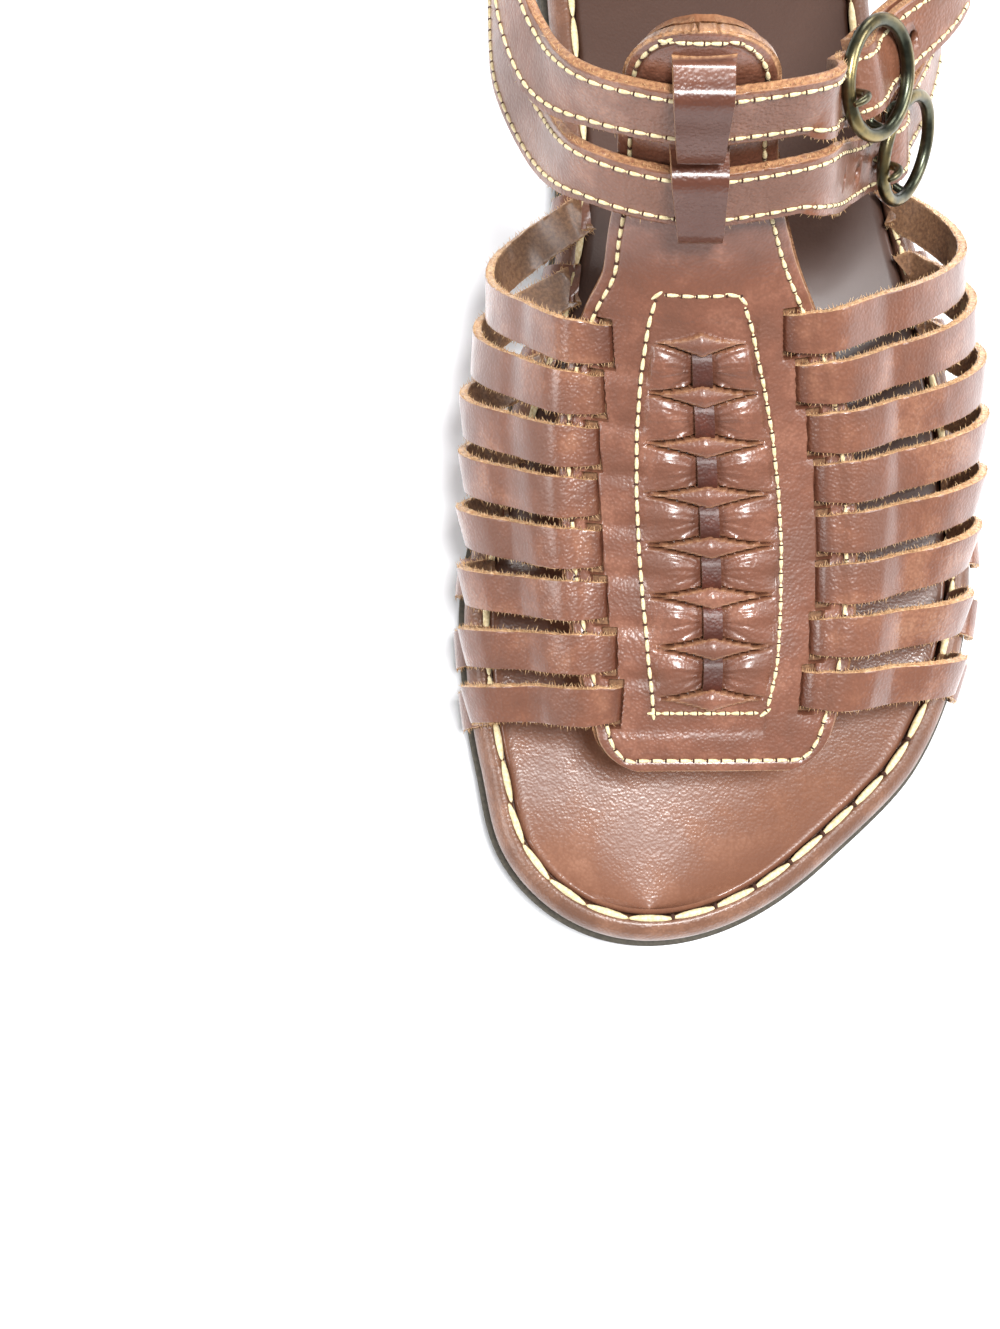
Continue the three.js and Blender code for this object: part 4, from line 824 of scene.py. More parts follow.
def repeat_tree(name, hair):
    """Stitches along a path, or hairs that stand out of an edge in the direction it carries"""
    tree = bpy.data.node_groups.new(name, "GeometryNodeTree")
    tree.interface.new_socket("Geometry", in_out="INPUT", socket_type="NodeSocketGeometry")
    for title in ("Pitch", "Length", "Thickness"):
        tree.interface.new_socket(title, in_out="INPUT", socket_type="NodeSocketFloat")
    tree.interface.new_socket("Seed", in_out="INPUT", socket_type="NodeSocketInt")
    tree.interface.new_socket("Material", in_out="INPUT", socket_type="NodeSocketMaterial")
    tree.interface.new_socket("Result", in_out="OUTPUT", socket_type="NodeSocketGeometry")
    given = add(tree, "NodeGroupInput").outputs
    line = add(tree, "GeometryNodeMeshToCurve", None, {0: given["Geometry"]}).outputs[0]
    even = add(tree, "GeometryNodeResampleCurve", {"mode": "LENGTH"},
               {"Curve": line, "Length": given["Pitch"]}).outputs[0]
    if hair:
        shape = add(tree, "GeometryNodeMeshCone", None,
                    {"Vertices": 4, "Radius Top": 0.2, "Radius Bottom": 1.0, "Depth": 2.0}).outputs["Mesh"]
        lean = add(tree, "FunctionNodeRandomValue", {"data_type": "FLOAT_VECTOR"},
                   {0: (-1.0, -1.0, -1.0), 1: (1.0, 1.0, 1.0), "Seed": given["Seed"]}).outputs[0]
        out = add(tree, "GeometryNodeInputNamedAttribute", {"data_type": "FLOAT_VECTOR"},
                  {"Name": "out"}).outputs[0]
        way = add(tree, "ShaderNodeVectorMath", {"operation": "ADD"}, {0: lean, 1: out}).outputs[0]
        size = add(tree, "FunctionNodeRandomValue", {"data_type": "FLOAT"},
                   {2: 0.15, 3: 1.0, "Seed": given["Seed"]}).outputs[1]
        reach = times(tree, size, given["Length"])
    else:
        shape = add(tree, "GeometryNodeMeshUVSphere", None,
                    {"Segments": 8, "Rings": 6, "Radius": 1.0}).outputs["Mesh"]
        way = add(tree, "GeometryNodeInputTangent").outputs[0]
        reach = given["Length"]
    turn = add(tree, "FunctionNodeAlignRotationToVector", {"axis": "Z"}, {"Vector": way}).outputs[0]
    girth = times(tree, given["Thickness"], 0.5)
    half = times(tree, reach, 0.5)
    scale = add(tree, "ShaderNodeCombineXYZ", None, {0: girth, 1: girth, 2: half}).outputs[0]
    copies = add(tree, "GeometryNodeInstanceOnPoints", None,
                 {"Points": even, "Instance": shape, "Rotation": turn, "Scale": scale})
    solid = add(tree, "GeometryNodeRealizeInstances", None, {0: copies.outputs[0]}).outputs[0]
    soft = add(tree, "GeometryNodeSetShadeSmooth", None, {0: solid}).outputs[0]
    dressed = add(tree, "GeometryNodeSetMaterial", None, {"Geometry": soft, "Material": given["Material"]})
    add(tree, "NodeGroupOutput", None, {0: dressed.outputs[0]})
    return tree


def along_paths(name, tree, paths, sizes, material, closed=False, outs=None, seed=3):
    """Repeats stitches or hairs along paths and keeps the result as a plain mesh"""
    points, edges, directions = [], [], []
    for k, path in enumerate(paths):
        start = len(points)
        points += ((np.asarray(path) + SHIFT) * MM).tolist()
        edges += [(start + i, start + i + 1) for i in range(len(path) - 1)]
        if closed:
            edges.append((start + len(path) - 1, start))
        if outs:
            directions.append(outs[k])
    mesh = bpy.data.meshes.new(name)
    mesh.from_pydata(points, edges, [])
    if outs:
        layer = mesh.attributes.new("out", "FLOAT_VECTOR", "POINT")
        layer.data.foreach_set("vector", np.concatenate(directions).astype(np.float32).ravel())
    obj = add_object(name, mesh)
    modifier = obj.modifiers.new("repeat", "NODES")
    modifier.node_group = tree
    pitch, length, thickness = sizes
    for title, value in (("Pitch", pitch * MM), ("Length", length * MM), ("Thickness", thickness * MM),
                         ("Seed", seed), ("Material", material)):
        modifier[socket_id(tree, title)] = value
    keep_result(obj)
    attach(obj, "root")


def every(path, spacing, start=0.0):
    """The path cut to begin a distance from its start, so that marks fall between stitches"""
    path = np.asarray(path, float)
    run = run_along(path)
    want = np.arange(start, run[-1], spacing)
    return read_rows(want, run, path)


# The sole
def cap(points, first, strips, height, up):
    """Closes a ring of the sole with strips across it, of a height for each place"""
    rows = []
    for i in range(STATIONS + 1):
        outer = first + i
        inner = first + (2 * STATIONS - i) % (2 * STATIONS)
        if i in (0, STATIONS):
            rows.append([outer])
            continue
        row = [inner]
        a, b = points[inner], points[outer]
        for k in range(1, strips):
            t = k / strips
            x, y = a[0] + (b[0] - a[0]) * t, a[1] + (b[1] - a[1]) * t
            row.append(len(points))
            points.append([x, y, height(RING_AT[i], t, x)])
        rows.append(row + [outer])
    faces = []
    for near, far in zip(rows, rows[1:]):
        if len(near) != len(far):
            faces += join_rows(near, far)
        else:
            faces += [(near[k], near[k + 1], far[k + 1], far[k]) for k in range(len(near) - 1)]
    return faces if up else [face[::-1] for face in faces]


def layer(rings, strips, under, over):
    """A closed part of the sole from rings listed upward, with its underside and its face"""
    points = [list(p) for ring in rings for p in ring]
    faces = ring_faces(len(rings), 2 * STATIONS)
    last = (len(rings) - 1) * 2 * STATIONS
    faces += cap(points, 0, strips[0], under, False)
    faces += cap(points, last, strips[1], over, True)
    return points, faces, {}


def dish(at, t):
    """Depth of the footbed's hollow, less under the arch"""
    return FOOTBED_DISH * np.sin(np.pi * t) * (1 - 0.5 * bell(at - 0.55, 0.12))


def floor_height(at):
    """Height of the underside: toe spring, raised shank and the front face of the low heel"""
    return ground_share(at) * HEEL_RIM * (1 - smooth((at - HEEL_BREAST) * LENGTH / BREAST_SLOPE + 0.5))


def tread(at, _, x):
    """The underside with the grooves between its cleats"""
    first, last, wide = FORE_CLEATS if at < 0.5 else HEEL_CLEATS
    y = at * LENGTH
    away = abs((y - first * LENGTH + CLEAT_PITCH / 2) % CLEAT_PITCH - CLEAT_PITCH / 2)
    inside = first * LENGTH - CLEAT_PITCH / 2 < y < last * LENGTH + CLEAT_PITCH / 2
    inside = inside and abs(x - float(centre(at)) * BALL_WIDTH) < wide * BALL_WIDTH
    return float(floor_height(at)) + (CLEAT_DEPTH if inside and away < (CLEAT_PITCH - CLEAT_WIDTH) / 2 else 0)


def build_outsole(materials):
    floor = floor_height(RING_AT)
    top = parting(RING_AT)
    rings = [sole_ring(0.2, floor), sole_ring(-0.7, floor + 0.15), sole_ring(-OUTSOLE_PROUD, floor + 0.8)]
    for inset, depth in ((-1.2, 3.1), (-0.6, 2.7), (-0.6, 2.3), (-1.2, 1.9), (-1.2, 0.3), (-0.9, 0.05)):
        rings.append(sole_ring(inset, np.maximum(top - depth, floor + 0.9)))
    part = layer(rings, (48, 4), tread, lambda at, t, x: float(parting(at)) - 0.02)
    finish_piece(make_piece("outsole_rubber", part, materials["rubber"]), "rubber", "outsole")


# Rand's section: distance inward and share of its height
RAND_SECTION = [
    (1.0, 0), (0.5, 0.05), (0.2, 0.14), (0.05, 0.28), (0, 0.42), (0.1, 0.56), (0.35, 0.68), (0.8, 0.79),
    (1.4, 0.88), (2.1, 0.95), (2.9, 0.995), (3.5, 1.0), (4.0, 0.96), (4.4, 0.88), (4.75, 0.74),
]


def build_rand(materials):
    low = parting(RING_AT) + GAP
    rings = [sole_ring(inset, low + (rim(RING_AT) - low) * rise) for inset, rise in RAND_SECTION]
    rings.append(sole_ring(RIM_WIDTH, rim(RING_AT) - FOOTBED_THICK - GAP))
    part = layer(rings, (4, 6), lambda at, t, x: float(parting(at)) + GAP,
                 lambda at, t, x: float(rim(at)) - FOOTBED_THICK - GAP - dish(at, t))
    finish_piece(make_piece("rand_leather_wrap", part, materials["rand"]), "leather", "midsole_rand")


def build_footbed(materials):
    inset = RIM_WIDTH + GAP
    top = rim(RING_AT)
    edge = ((0, FOOTBED_THICK), (0, 1.6), (0.15, 1.25), (0.5, 0.95), (1.0, FOOTBED_SUNK))
    rings = [sole_ring(inset + inward, top - depth) for inward, depth in edge]
    part = layer(rings, (6, 44), lambda at, t, x: float(rim(at)) - FOOTBED_THICK - dish(at, t),
                 lambda at, t, x: float(rim(at)) - FOOTBED_SUNK - dish(at, t))
    finish_piece(make_piece("footbed_hide", part, materials["footbed"]), "leather", "footbed")


# The centre panel
def panel_field(along, across):
    """Height of the panel's face over the foot, with its cut edges, a darker line along its border seam and
    painted shade in its hollows
    """
    along = np.broadcast_to(along[:, None], across.shape)
    side = np.where(across < 0, -1, 1)
    edge = panel_edge(along, side)
    at = along / PANEL_LENGTH
    base = TONGUE_ROUND * np.where(side < 0, panel_inner(at), panel_outer(at)) * BALL_WIDTH
    tip = PANEL_LENGTH - base
    near = np.where(along > tip, base - np.hypot(along - tip, across), edge - np.abs(across))
    near = np.clip(np.minimum(near, along), 0, None)
    lift = PANEL_TOP - 0.55 * (1 - rounded(near, 0.7)) - 0.2 * bell(near - BORDER_SEAM, 0.45)
    cut = 1 - smooth((near - 0.12) / 0.25)
    dark = 0.25 * bell(near - BORDER_SEAM, 0.4)
    lift, cut, dark = add_bows(along, across, lift, cut, dark)
    lift, dark = add_slots(along, across, lift, dark)
    return lift, np.clip(cut, 0, 1), np.clip(dark, 0, 1)


def add_bows(along, across, lift, cut, dark):
    """Bridges over the lace, with gathered leather between them"""
    away = along - WINDOW_START
    nearest = np.clip(np.round(away / BOW_PITCH), 0, BOW_COUNT)
    u = np.abs(away - nearest * BOW_PITCH)
    x = np.abs(across)
    reach = window_half(along) - LENS_INSET
    open_share = np.maximum(1 - x / reach, 0)
    lens = LENS_WIDTH * open_share ** 1.7 + 0.12
    on_bridge = u < lens
    arch = BRIDGE_RISE * open_share ** 1.5 * (1 - 0.5 * np.minimum(u / lens, 1) ** 2) + 0.15
    between = (away > 0) & (away < BOW_COUNT * BOW_PITCH)
    inside = smooth((reach - x) / 0.8)
    s = np.clip((u - lens) / np.maximum(BOW_PITCH / 2 - lens, 0.1), 0, 1)
    belly = bell(x - 6.4, 3.4) * (1 - (1 - s) ** 2.6) - 0.6 * bell(x, 2.4)
    rim_fold = 0.22 * bell(s - 0.16, 0.1) * smooth((x - 1.6) / 1.5)
    bow = np.clip(np.floor(away / BOW_PITCH), 0, BOW_COUNT - 1) + 0.5
    angle = np.arctan2(away - bow * BOW_PITCH, x + 0.3)
    gathers = 0.13 * np.cos(19 * angle + 2.1 * np.sin(3 * bow)) * bell(x - 3.4, 2.6)
    gathers += 0.07 * np.cos(37 * angle + bow + 0.9 * x) * bell(x - 4.8, 3.4)
    petal = (belly + rim_fold + gathers - 0.4 * (1 - s) ** 3) * inside
    lift = lift + np.where(on_bridge, arch * inside, np.where(between, petal, 0))
    slit = bell(u - lens - 0.13, 0.17) * smooth((reach - 0.2 - x) / 3.5)
    slit = slit * (between | on_bridge) * np.where((away < 0) | (away > BOW_COUNT * BOW_PITCH), 0.2, 1)
    lift = lift - slit
    lips = bell(u - lens + 0.22, 0.2) * smooth((reach - x) / 2.0) * on_bridge
    lips = np.maximum(lips, 0.5 * bell(u - lens - 0.45, 0.16) * between * inside)
    cut = np.maximum(cut, 0.6 * lips)
    # Painted shade in the slits and in the petals' hollows beside the lace
    dark = np.maximum(dark, 0.95 * slit)
    dark = np.maximum(dark, 0.35 * bell(x - 2.2, 1.0) * between * ~on_bridge)
    return lift, cut, dark


def add_slots(along, across, lift, dark):
    """Slots of the side straps, each with the leather pressed down beside it"""
    for i in range(STRAP_COUNT):
        for way in (-1, 1):
            middle = strap_along(i, way)
            slot = slot_across(middle)
            far = np.maximum(np.abs(along - middle) - STRAP_WIDTH / 2 - GAP,
                             np.abs(across - way * slot) - SLOT_WIDTH / 2 + 0.2)
            hole = 1 - smooth(far / 0.35 + 0.5)
            lift = lift - 2.0 * hole
            # Painted shade in each slot
            dark = np.maximum(dark, hole)
            press = np.maximum(np.abs(along - middle) - 4.6, 0) + 0.6 * np.maximum(way * (slot - across), 0)
            lift = lift - 0.35 * bell(press, 1.5) * (way * across > way * slot * 0.6)
    return lift, dark


def window_half(along):
    """Half width of the stitched window"""
    stops = np.array(WINDOW_STITCH, float)
    return np.interp(along, stops[:, 0], stops[:, 1])


def build_panel(materials):
    rows = np.unique(np.concatenate([np.linspace(0.02, PANEL_LENGTH - 0.05, 430), np.linspace(0.02, 2, 12),
                                     PANEL_LENGTH - np.geomspace(0.05, 3, 12)]))
    shares = np.linspace(-1, 1, 148)
    across = np.array([shares * panel_edge(a, shares) for a in rows])
    points, normals = foot_grid(rows, across)
    lift, cut, dark = panel_field(rows, across)
    top = points + normals * lift[..., None]
    few = np.linspace(-1, 1, 9)
    low_points, low_normals = foot_grid(rows, np.array([few * panel_edge(a, few) for a in rows]))
    low = low_points + low_normals * PANEL_UNDER
    points, faces = slab(top, low)
    rest = np.zeros(low.shape[0] * low.shape[1])
    marks = {"edge": np.concatenate([cut.ravel(), rest]), "dark": np.concatenate([dark.ravel(), rest]),
             "under": np.concatenate([np.zeros(cut.size), rest + 1])}
    part = merge([(points, faces, marks)] + [keeper(at) for at in (LOWER_AT, UPPER_AT)])
    finish_piece(make_piece("vamp_panel_hide", part, materials["panel"]), "leather", "vamp_panel")


def keeper(middle):
    """A band of the panel that runs up over an ankle strap and down again"""
    top = STRAP_OVER_PANEL + ANKLE_THICK / 2 + GAP + 0.2 + KEEPER_THICK / 2
    half = HOLLOW_SPREAD * ANKLE_WIDTH / 2
    foot_lift = PANEL_TOP - KEEPER_THICK / 2
    path = [
        (-half - 5.5, foot_lift - 0.6), (-half - 2.8, foot_lift + 0.35), (-half - 1.4, (foot_lift + top) / 2),
        (-half - 0.6, top - 0.5), (-half + 0.8, top + 0.1), (0, top + 0.2), (half - 0.8, top + 0.1),
        (half + 0.6, top - 0.5), (half + 1.4, (foot_lift + top) / 2), (half + 2.4, foot_lift + 0.5),
        (half + 4, foot_lift),
    ]
    frames = [on_foot(min(middle + away, PANEL_LENGTH - 0.5), 0, lift) for away, lift in path]
    wide = [KEEPER_WIDTH * (0.84 + 0.2 * (away + half) / (2 * half)) for away, _ in path]
    points, (sides, widths) = resample([f[0] for f in frames], [[f[3] for f in frames], wide], 0.5)
    across, normal = frames_along(points, sides, frames[5][1])
    reach = np.abs(np.linspace(-1, 1, len(points)))
    dark = 0.75 * (1 - smooth((reach - 0.55) / 0.3))
    return ribbon(points, across, normal, widths[:, 0], KEEPER_THICK, dark=dark)


def build_lining(materials):
    rows = np.linspace(0.35, PANEL_LENGTH - 0.2, 160)
    shares = np.linspace(-1, 1, 30)
    spare = np.where(rows > 0.8 * PANEL_LENGTH, -0.6, 0.8)
    edges = np.array([shares * (panel_edge(a, shares) + s) for a, s in zip(rows, spare)])
    points, normals = foot_grid(rows, edges)
    top = points + normals * LINING_THICK
    points, faces = slab(top, points[:, ::4])
    border = np.zeros(top.shape[:2])
    border[:, [0, -1]] = 0.8
    marks = {"edge": np.concatenate([border.ravel(), np.zeros(len(points) - border.size)])}
    piece = make_piece("panel_lining_split", (points, faces, marks), materials["lining"])
    finish_piece(piece, "lining", "panel_lining")


def build_lace(materials):
    low = LINING_THICK + GAP + LACE_THICK / 2 + 0.5
    high = PANEL_TOP + GAP * 0.4 + LACE_THICK / 2 - 0.35
    frames = []
    for i in range(BOW_COUNT + 1):
        middle = WINDOW_START + i * BOW_PITCH
        for away, up, extra in LACE_WAVE:
            if (i == 0 and away < -2) or (i == BOW_COUNT and away > 2):
                continue
            frames.append(on_foot(middle + away, 0, (high if up else low) + extra))
    points, (sides,) = resample([f[0] for f in frames], [[f[3] for f in frames]], 0.5)
    across, normal = frames_along(points, sides, frames[len(frames) // 2][1])
    part = ribbon(points, across, normal, LACE_WIDTH, LACE_THICK)
    part[2]["edge"] *= 0.15
    finish_piece(make_piece("bow_lace_thong", part, materials["lace"]), "dark_leather", "bow_lace")


# The side straps
def strap_path(i, side):
    """Centre points and width directions of one side strap, from its slot to its tail on the rand"""
    along = strap_along(i, side)
    share = share_along(along)
    near = STRAP_WIDTH / 2
    edge = float(max(panel_edge(along - near, side), panel_edge(along + near, side)))
    slot = slot_across(along)
    reach = section(share, side)[1][-1]
    points, widths = [], []

    def place(across, lift):
        p, _, forward, _ = on_foot(along, side * across, lift)
        points.append(p)
        widths.append(forward)

    for past, lift in STRAP_START:
        place(slot + past, lift)
    place(max(edge - 0.5, slot + 5.8), STRAP_LIFT + 0.35)
    edge = max(edge, slot + 6)
    for k in range(1, WALL_STEPS + 1):
        across = edge + 0.8 + (reach - edge - 0.8) * k / WALL_STEPS
        ease = float(smooth((across - edge - 0.8) / 9))
        place(across, STRAP_LIFT + (SIDE_LIFT - STRAP_LIFT) * ease)
    root = root_share(share, side)
    low = float(parting(root)) + GAP
    for inset, rise, up in STRAP_TAIL:
        point, direction = edge_point(root, side, inset)
        points.append(np.array([point[0], point[1], low + (float(rim(root)) - low) * rise + up]))
        widths.append(np.array([direction[0], direction[1], 0]))
    return points, widths, len(points) - len(STRAP_TAIL)


def build_side_straps(materials, fuzz):
    """Eight straps a side. Their cut edges' lines are kept in fuzz for the fibres."""
    for i in range(STRAP_COUNT):
        for side, word in ((-1, "medial"), (1, "lateral")):
            points, widths, wall = strap_path(i, side)
            thick = [STRAP_THICK if k < wall - 1 else TAIL_THICK for k in range(len(points))]
            path, (sides, thicks) = resample(points, [widths, thick], STRAP_STEP)
            outward = on_foot(strap_along(i, side), side * 40, 0)[1]
            across, normal = frames_along(path, sides, outward)
            rng = np.random.default_rng(100 + 10 * i + side)
            sway = np.cumsum(rng.normal(0, 0.03, len(path)))
            sway -= np.linspace(sway[0], sway[-1], len(path))
            ease = np.sin(np.pi * np.linspace(0, 1, len(path))) ** 2
            path = path + normal * (0.5 * sway * ease)[:, None]
            start = np.minimum(np.arange(len(path)) * STRAP_STEP, 12)
            wide = (STRAP_SEEN - 0.3 * rng.random()) * (0.86 + 0.14 * smooth(start / 7))
            tilt = (np.radians(STRAP_LEAN) * ease * (0.8 + 0.4 * rng.random()))[:, None]
            across, normal = (across * np.cos(tilt) + normal * np.sin(tilt),
                              normal * np.cos(tilt) - across * np.sin(tilt))
            # Painted shade on each strap's end, where it dips under the panel's edge into its slot
            slot_end_shade = 0.6 * (1 - smooth((start - 1.2) / 3.2))
            part = ribbon(path, across, normal, wide, thicks[:, 0], 1, STRAP_RAGGED, 17 * i + side + 5, slot_end_shade)
            name = f"{word}_strap_{STRAP_COUNT - i}"
            finish_piece(make_piece(name + "_hide", part, materials["strap"]), "leather", name)
            for way in (-1, 1):
                for level in (0.35, -0.3):
                    line = path + across * (way * wide / 2)[:, None] + normal * (level * thicks)
                    fuzz.append((line, across * way * FIBRE_PUSH))


# The ankle straps
def route_guide(turn, reach, height, lean):
    turn, lean = math.radians(turn), math.radians(lean)
    out = np.array([math.sin(turn), -math.cos(turn), 0])
    p = np.array([*ANKLE_AXIS, height * INSTEP_RISE]) + out * reach * ANKLE_HALF_LENGTH
    return p, np.array([*(-out[:2] * math.sin(lean)), math.cos(lean)])


class Loop:
    """The whole way of an ankle strap round the leg, from the back by the inner side"""

    def __init__(self, inner, along, outer):
        front = []
        for across in (-16.5, -8, 0, 8, 16.5):
            clear = 0.5 if abs(across) > 10 else 0
            rise = (3 if across < 0 else 2) * (across / 16.5) ** 2
            p, _, forward, _ = on_foot(along + rise, across, STRAP_OVER_PANEL + clear)
            front.append((p, forward))
        guides = [route_guide(*row) for row in inner] + front + [route_guide(*row) for row in outer]
        ups = [g[1] for g in guides]
        self.points, (self.up,) = resample([g[0] for g in guides], [ups], 0.25)
        self.run = run_along(self.points)
        # the ring sits at the second guide past the panel
        ring = guides[len(inner) + len(front) + 1][0]
        self.ring = self.run[np.argmin(np.linalg.norm(self.points - ring, axis=1))]
        self.total = self.run[-1]

    def at(self, distance, lift=0.0):
        """Points, tangents, upward and outward directions at distances from the start"""
        distance = np.clip(np.atleast_1d(distance), 0, self.total)
        tangent = unit(read_rows(distance, self.run, np.gradient(self.points, self.run, axis=0)))
        up = read_rows(distance, self.run, self.up)
        across = unit(up - tangent * np.sum(up * tangent, 1, keepdims=True))
        normal = np.cross(tangent, across)
        points = read_rows(distance, self.run, self.points) + normal * np.reshape(lift, (-1, 1))
        return points, tangent, across, normal


def hump(away):
    return np.where(np.abs(away) < HUMP_HALF, HUMP * np.cos(np.pi / 2 * away / HUMP_HALF) ** 2, 0)


def punched(obj, places):
    """Cuts round holes through a strap"""
    parts = []
    for point, normal, radius in places:
        ends = np.array([point - normal * PUNCH_REACH, point + normal * PUNCH_REACH])
        parts.append(tube(ends, [radius, radius], 18))
    points, faces, _ = merge(parts)
    cutter = make_piece("hole_cutter", (points, faces, {}), obj.data.materials[0])
    modifier = obj.modifiers.new("holes", "BOOLEAN")
    modifier.object = cutter
    modifier.operation = "DIFFERENCE"
    modifier.solver = "EXACT"
    keep_result(obj)
    bpy.data.objects.remove(cutter)


def loop_strap(loop, start, end, lift, seed, stitches, fuzz):
    """A stitched strap on a loop, with its two seams kept in stitches"""
    distance = np.linspace(start, end, int((end - start) / STRAP_STEP))
    points = loop.at(distance, lift(distance))[0]
    _, _, ups, outs = loop.at(distance)
    across, normal = frames_along(points, ups, outs[len(outs) // 2])
    for way in (-1, 1):
        line = points + across * way * (ANKLE_WIDTH / 2 - ANKLE_SEAM) + normal * (ANKLE_SEEN_THICK / 2 + 0.02)
        stitches.append(line[3:-3])
        edge_line = points + across * way * ANKLE_WIDTH / 2 + normal * 0.5
        fuzz.append((edge_line, across * way * FIBRE_PUSH))
    return ribbon(points, across, normal, ANKLE_WIDTH, ANKLE_SEEN_THICK, 2, ANKLE_RAGGED, seed)


def build_ankle(word, loop, holes, materials, stitches, fuzz):
    """One buckled ankle strap: the long strap, the ring's strap, the ring and its prong"""
    end = loop.ring + FREE_END
    part = loop_strap(loop, SEAM, end, lambda d: hump(d - loop.ring), 21, stitches, fuzz)
    strap = make_piece("ankle_strap_" + word + "_hide", part, materials["ankle"])
    places = []
    for away, radius in [(h, HOLE_RADIUS) for h in holes] + [(PRONG_HOLE_AT, PRONG_HOLE)]:
        p, _, _, normal = loop.at(loop.ring + away, hump(np.array(away)))
        places.append((p[0], normal[0], radius))
    punched(strap, places)
    finish_piece(strap, "leather", "ankle_strap_" + word)

    def sink(distance):
        return -(ANKLE_THICK + GAP) * (1 - smooth((distance - loop.ring - FREE_END) / SINK_OVER))

    hidden = []
    part = loop_strap(loop, loop.ring + 1.5, loop.total - SEAM, sink, 23, hidden, fuzz)
    stitches += [line[int(FREE_END / STRAP_STEP) + 4:] for line in hidden]
    carrier = make_piece("buckle_strap_" + word + "_hide", part, materials["ankle"])
    finish_piece(carrier, "leather", "buckle_strap_" + word)
    build_ring(word, loop, materials)


def build_ring(word, loop, materials):
    base, tangent, across, normal = (value[0] for value in loop.at(loop.ring, RING_LIFT))
    around, sides = 72, 14
    a = np.repeat(2 * np.pi * np.arange(around) / around, sides)
    b = np.tile(2 * np.pi * np.arange(sides) / sides, around)
    radius = RING_RADIUS + RING_TUBE * np.cos(b)
    points = (base + np.outer(radius * np.cos(a), tangent) + np.outer(radius * np.sin(a), across)
              + np.outer(RING_TUBE * np.sin(b), normal))
    faces = ring_faces(around, sides)
    last = (around - 1) * sides
    faces += [(last + k, last + (k + 1) % sides, (k + 1) % sides, k) for k in range(sides)]
    rubbed = np.maximum(np.sin(b + 0.6), 0) ** 3
    torus = (points, faces, {"edge": rubbed})
    half = [(-1, 0), (-0.93, 0.4), (-0.84, 0.85), (-0.7, 1), (0, 1)]
    bar = half + [(-y, sag) for y, sag in half[-2::-1]]
    path = np.array([base + across * y * RING_RADIUS - normal * BAR_SAG * sag for y, sag in bar])
    path, _ = resample(path, [], 0.5)
    ring = merge([torus, tube(path, np.full(len(path), BAR_RADIUS))])
    ring = make_piece("ring_buckle_" + word + "_brass", ring, materials["metal"])
    finish_piece(ring, "metal", "ring_buckle_" + word)
    over = RING_TUBE + GAP + 0.75
    steps = [(-4.9, -RING_LIFT + 0.2, 0.6), (PRONG_HOLE_AT, -1.0, 0.7), (-6.4, over - 0.5, 0.75),
             (-7.6, over + 0.1, 0.75), (-9.2, over, 0.62), (-10.2, over - 0.3, 0.4)]
    path = [base + tangent * away + normal * up for away, up, _ in steps]
    path, (radii,) = resample(path, [[row[2] for row in steps]], 0.4)
    points, faces, _ = tube(path, radii[:, 0])
    part = (points, faces, {"edge": np.full(len(points), 0.5)})
    prong = make_piece("buckle_prong_" + word + "_brass", part, materials["metal"])
    finish_piece(prong, "metal", "buckle_prong_" + word)


def build_heel_strap(lower, upper, materials, stitches):
    """The upright piece inside both straps at the back"""
    inward = -(ANKLE_THICK / 2 + GAP + 1.5 + HEEL_STRAP_THICK / 2)
    lines = []
    for share in np.linspace(-1, 1, HEEL_STRAP_COLUMNS):
        away = share * HEEL_STRAP_WIDTH / 2

        def at(loop, extra):
            distance = -away if away < 0 else loop.total - away
            p, _, across, _ = loop.at(distance, inward)
            return p[0] + across[0] * extra

        turn = away / HEEL_BEND
        back = LENGTH - RIM_WIDTH + 1.2 - HEEL_BEND * (1 - math.cos(turn))
        rim_foot = np.array([float(centre(1)) * BALL_WIDTH + HEEL_BEND * math.sin(turn), back,
                             float(rim(0.99)) + GAP])
        low, high = at(lower, 0), at(upper, 0)
        swell = rim_foot + (low - rim_foot) * 0.4 + np.array([0, 1, 0])
        guides = [rim_foot, swell, low, high, at(upper, ANKLE_WIDTH / 2 + 3.5)]
        line, _ = resample(guides, [], 0.8)
        pick = np.linspace(0, len(line) - 1, HEEL_STRAP_ROWS)
        lines.append(read_rows(pick, np.arange(len(line)), line))
    grid = np.array(lines).transpose(1, 0, 2)
    # the outside is read at a row below the ankle straps, where the strip lies evenly
    normal = unit(np.cross(np.gradient(grid, axis=0), np.gradient(grid, axis=1)))
    if normal[HEEL_STRAP_EVEN_ROW, HEEL_STRAP_COLUMNS // 2, 1] < 0:
        normal = -normal
    points, faces = slab(grid + normal * HEEL_STRAP_THICK / 2, grid - normal * HEEL_STRAP_THICK / 2)
    edge = np.zeros(grid.shape[:2])
    edge[:, [0, -1]] = 1
    edge[[0, -1]] = 1
    marks = {"edge": np.tile(edge.ravel(), 2), "under": np.repeat([0.0, 1.0], edge.size)}
    piece = make_piece("heel_strap_hide", (points, faces, marks), materials["ankle"])
    finish_piece(piece, "leather", "heel_strap")
    for column in (1, -2):
        stitches.append((grid + normal * (HEEL_STRAP_THICK / 2 + 0.04))[3:-3, column])


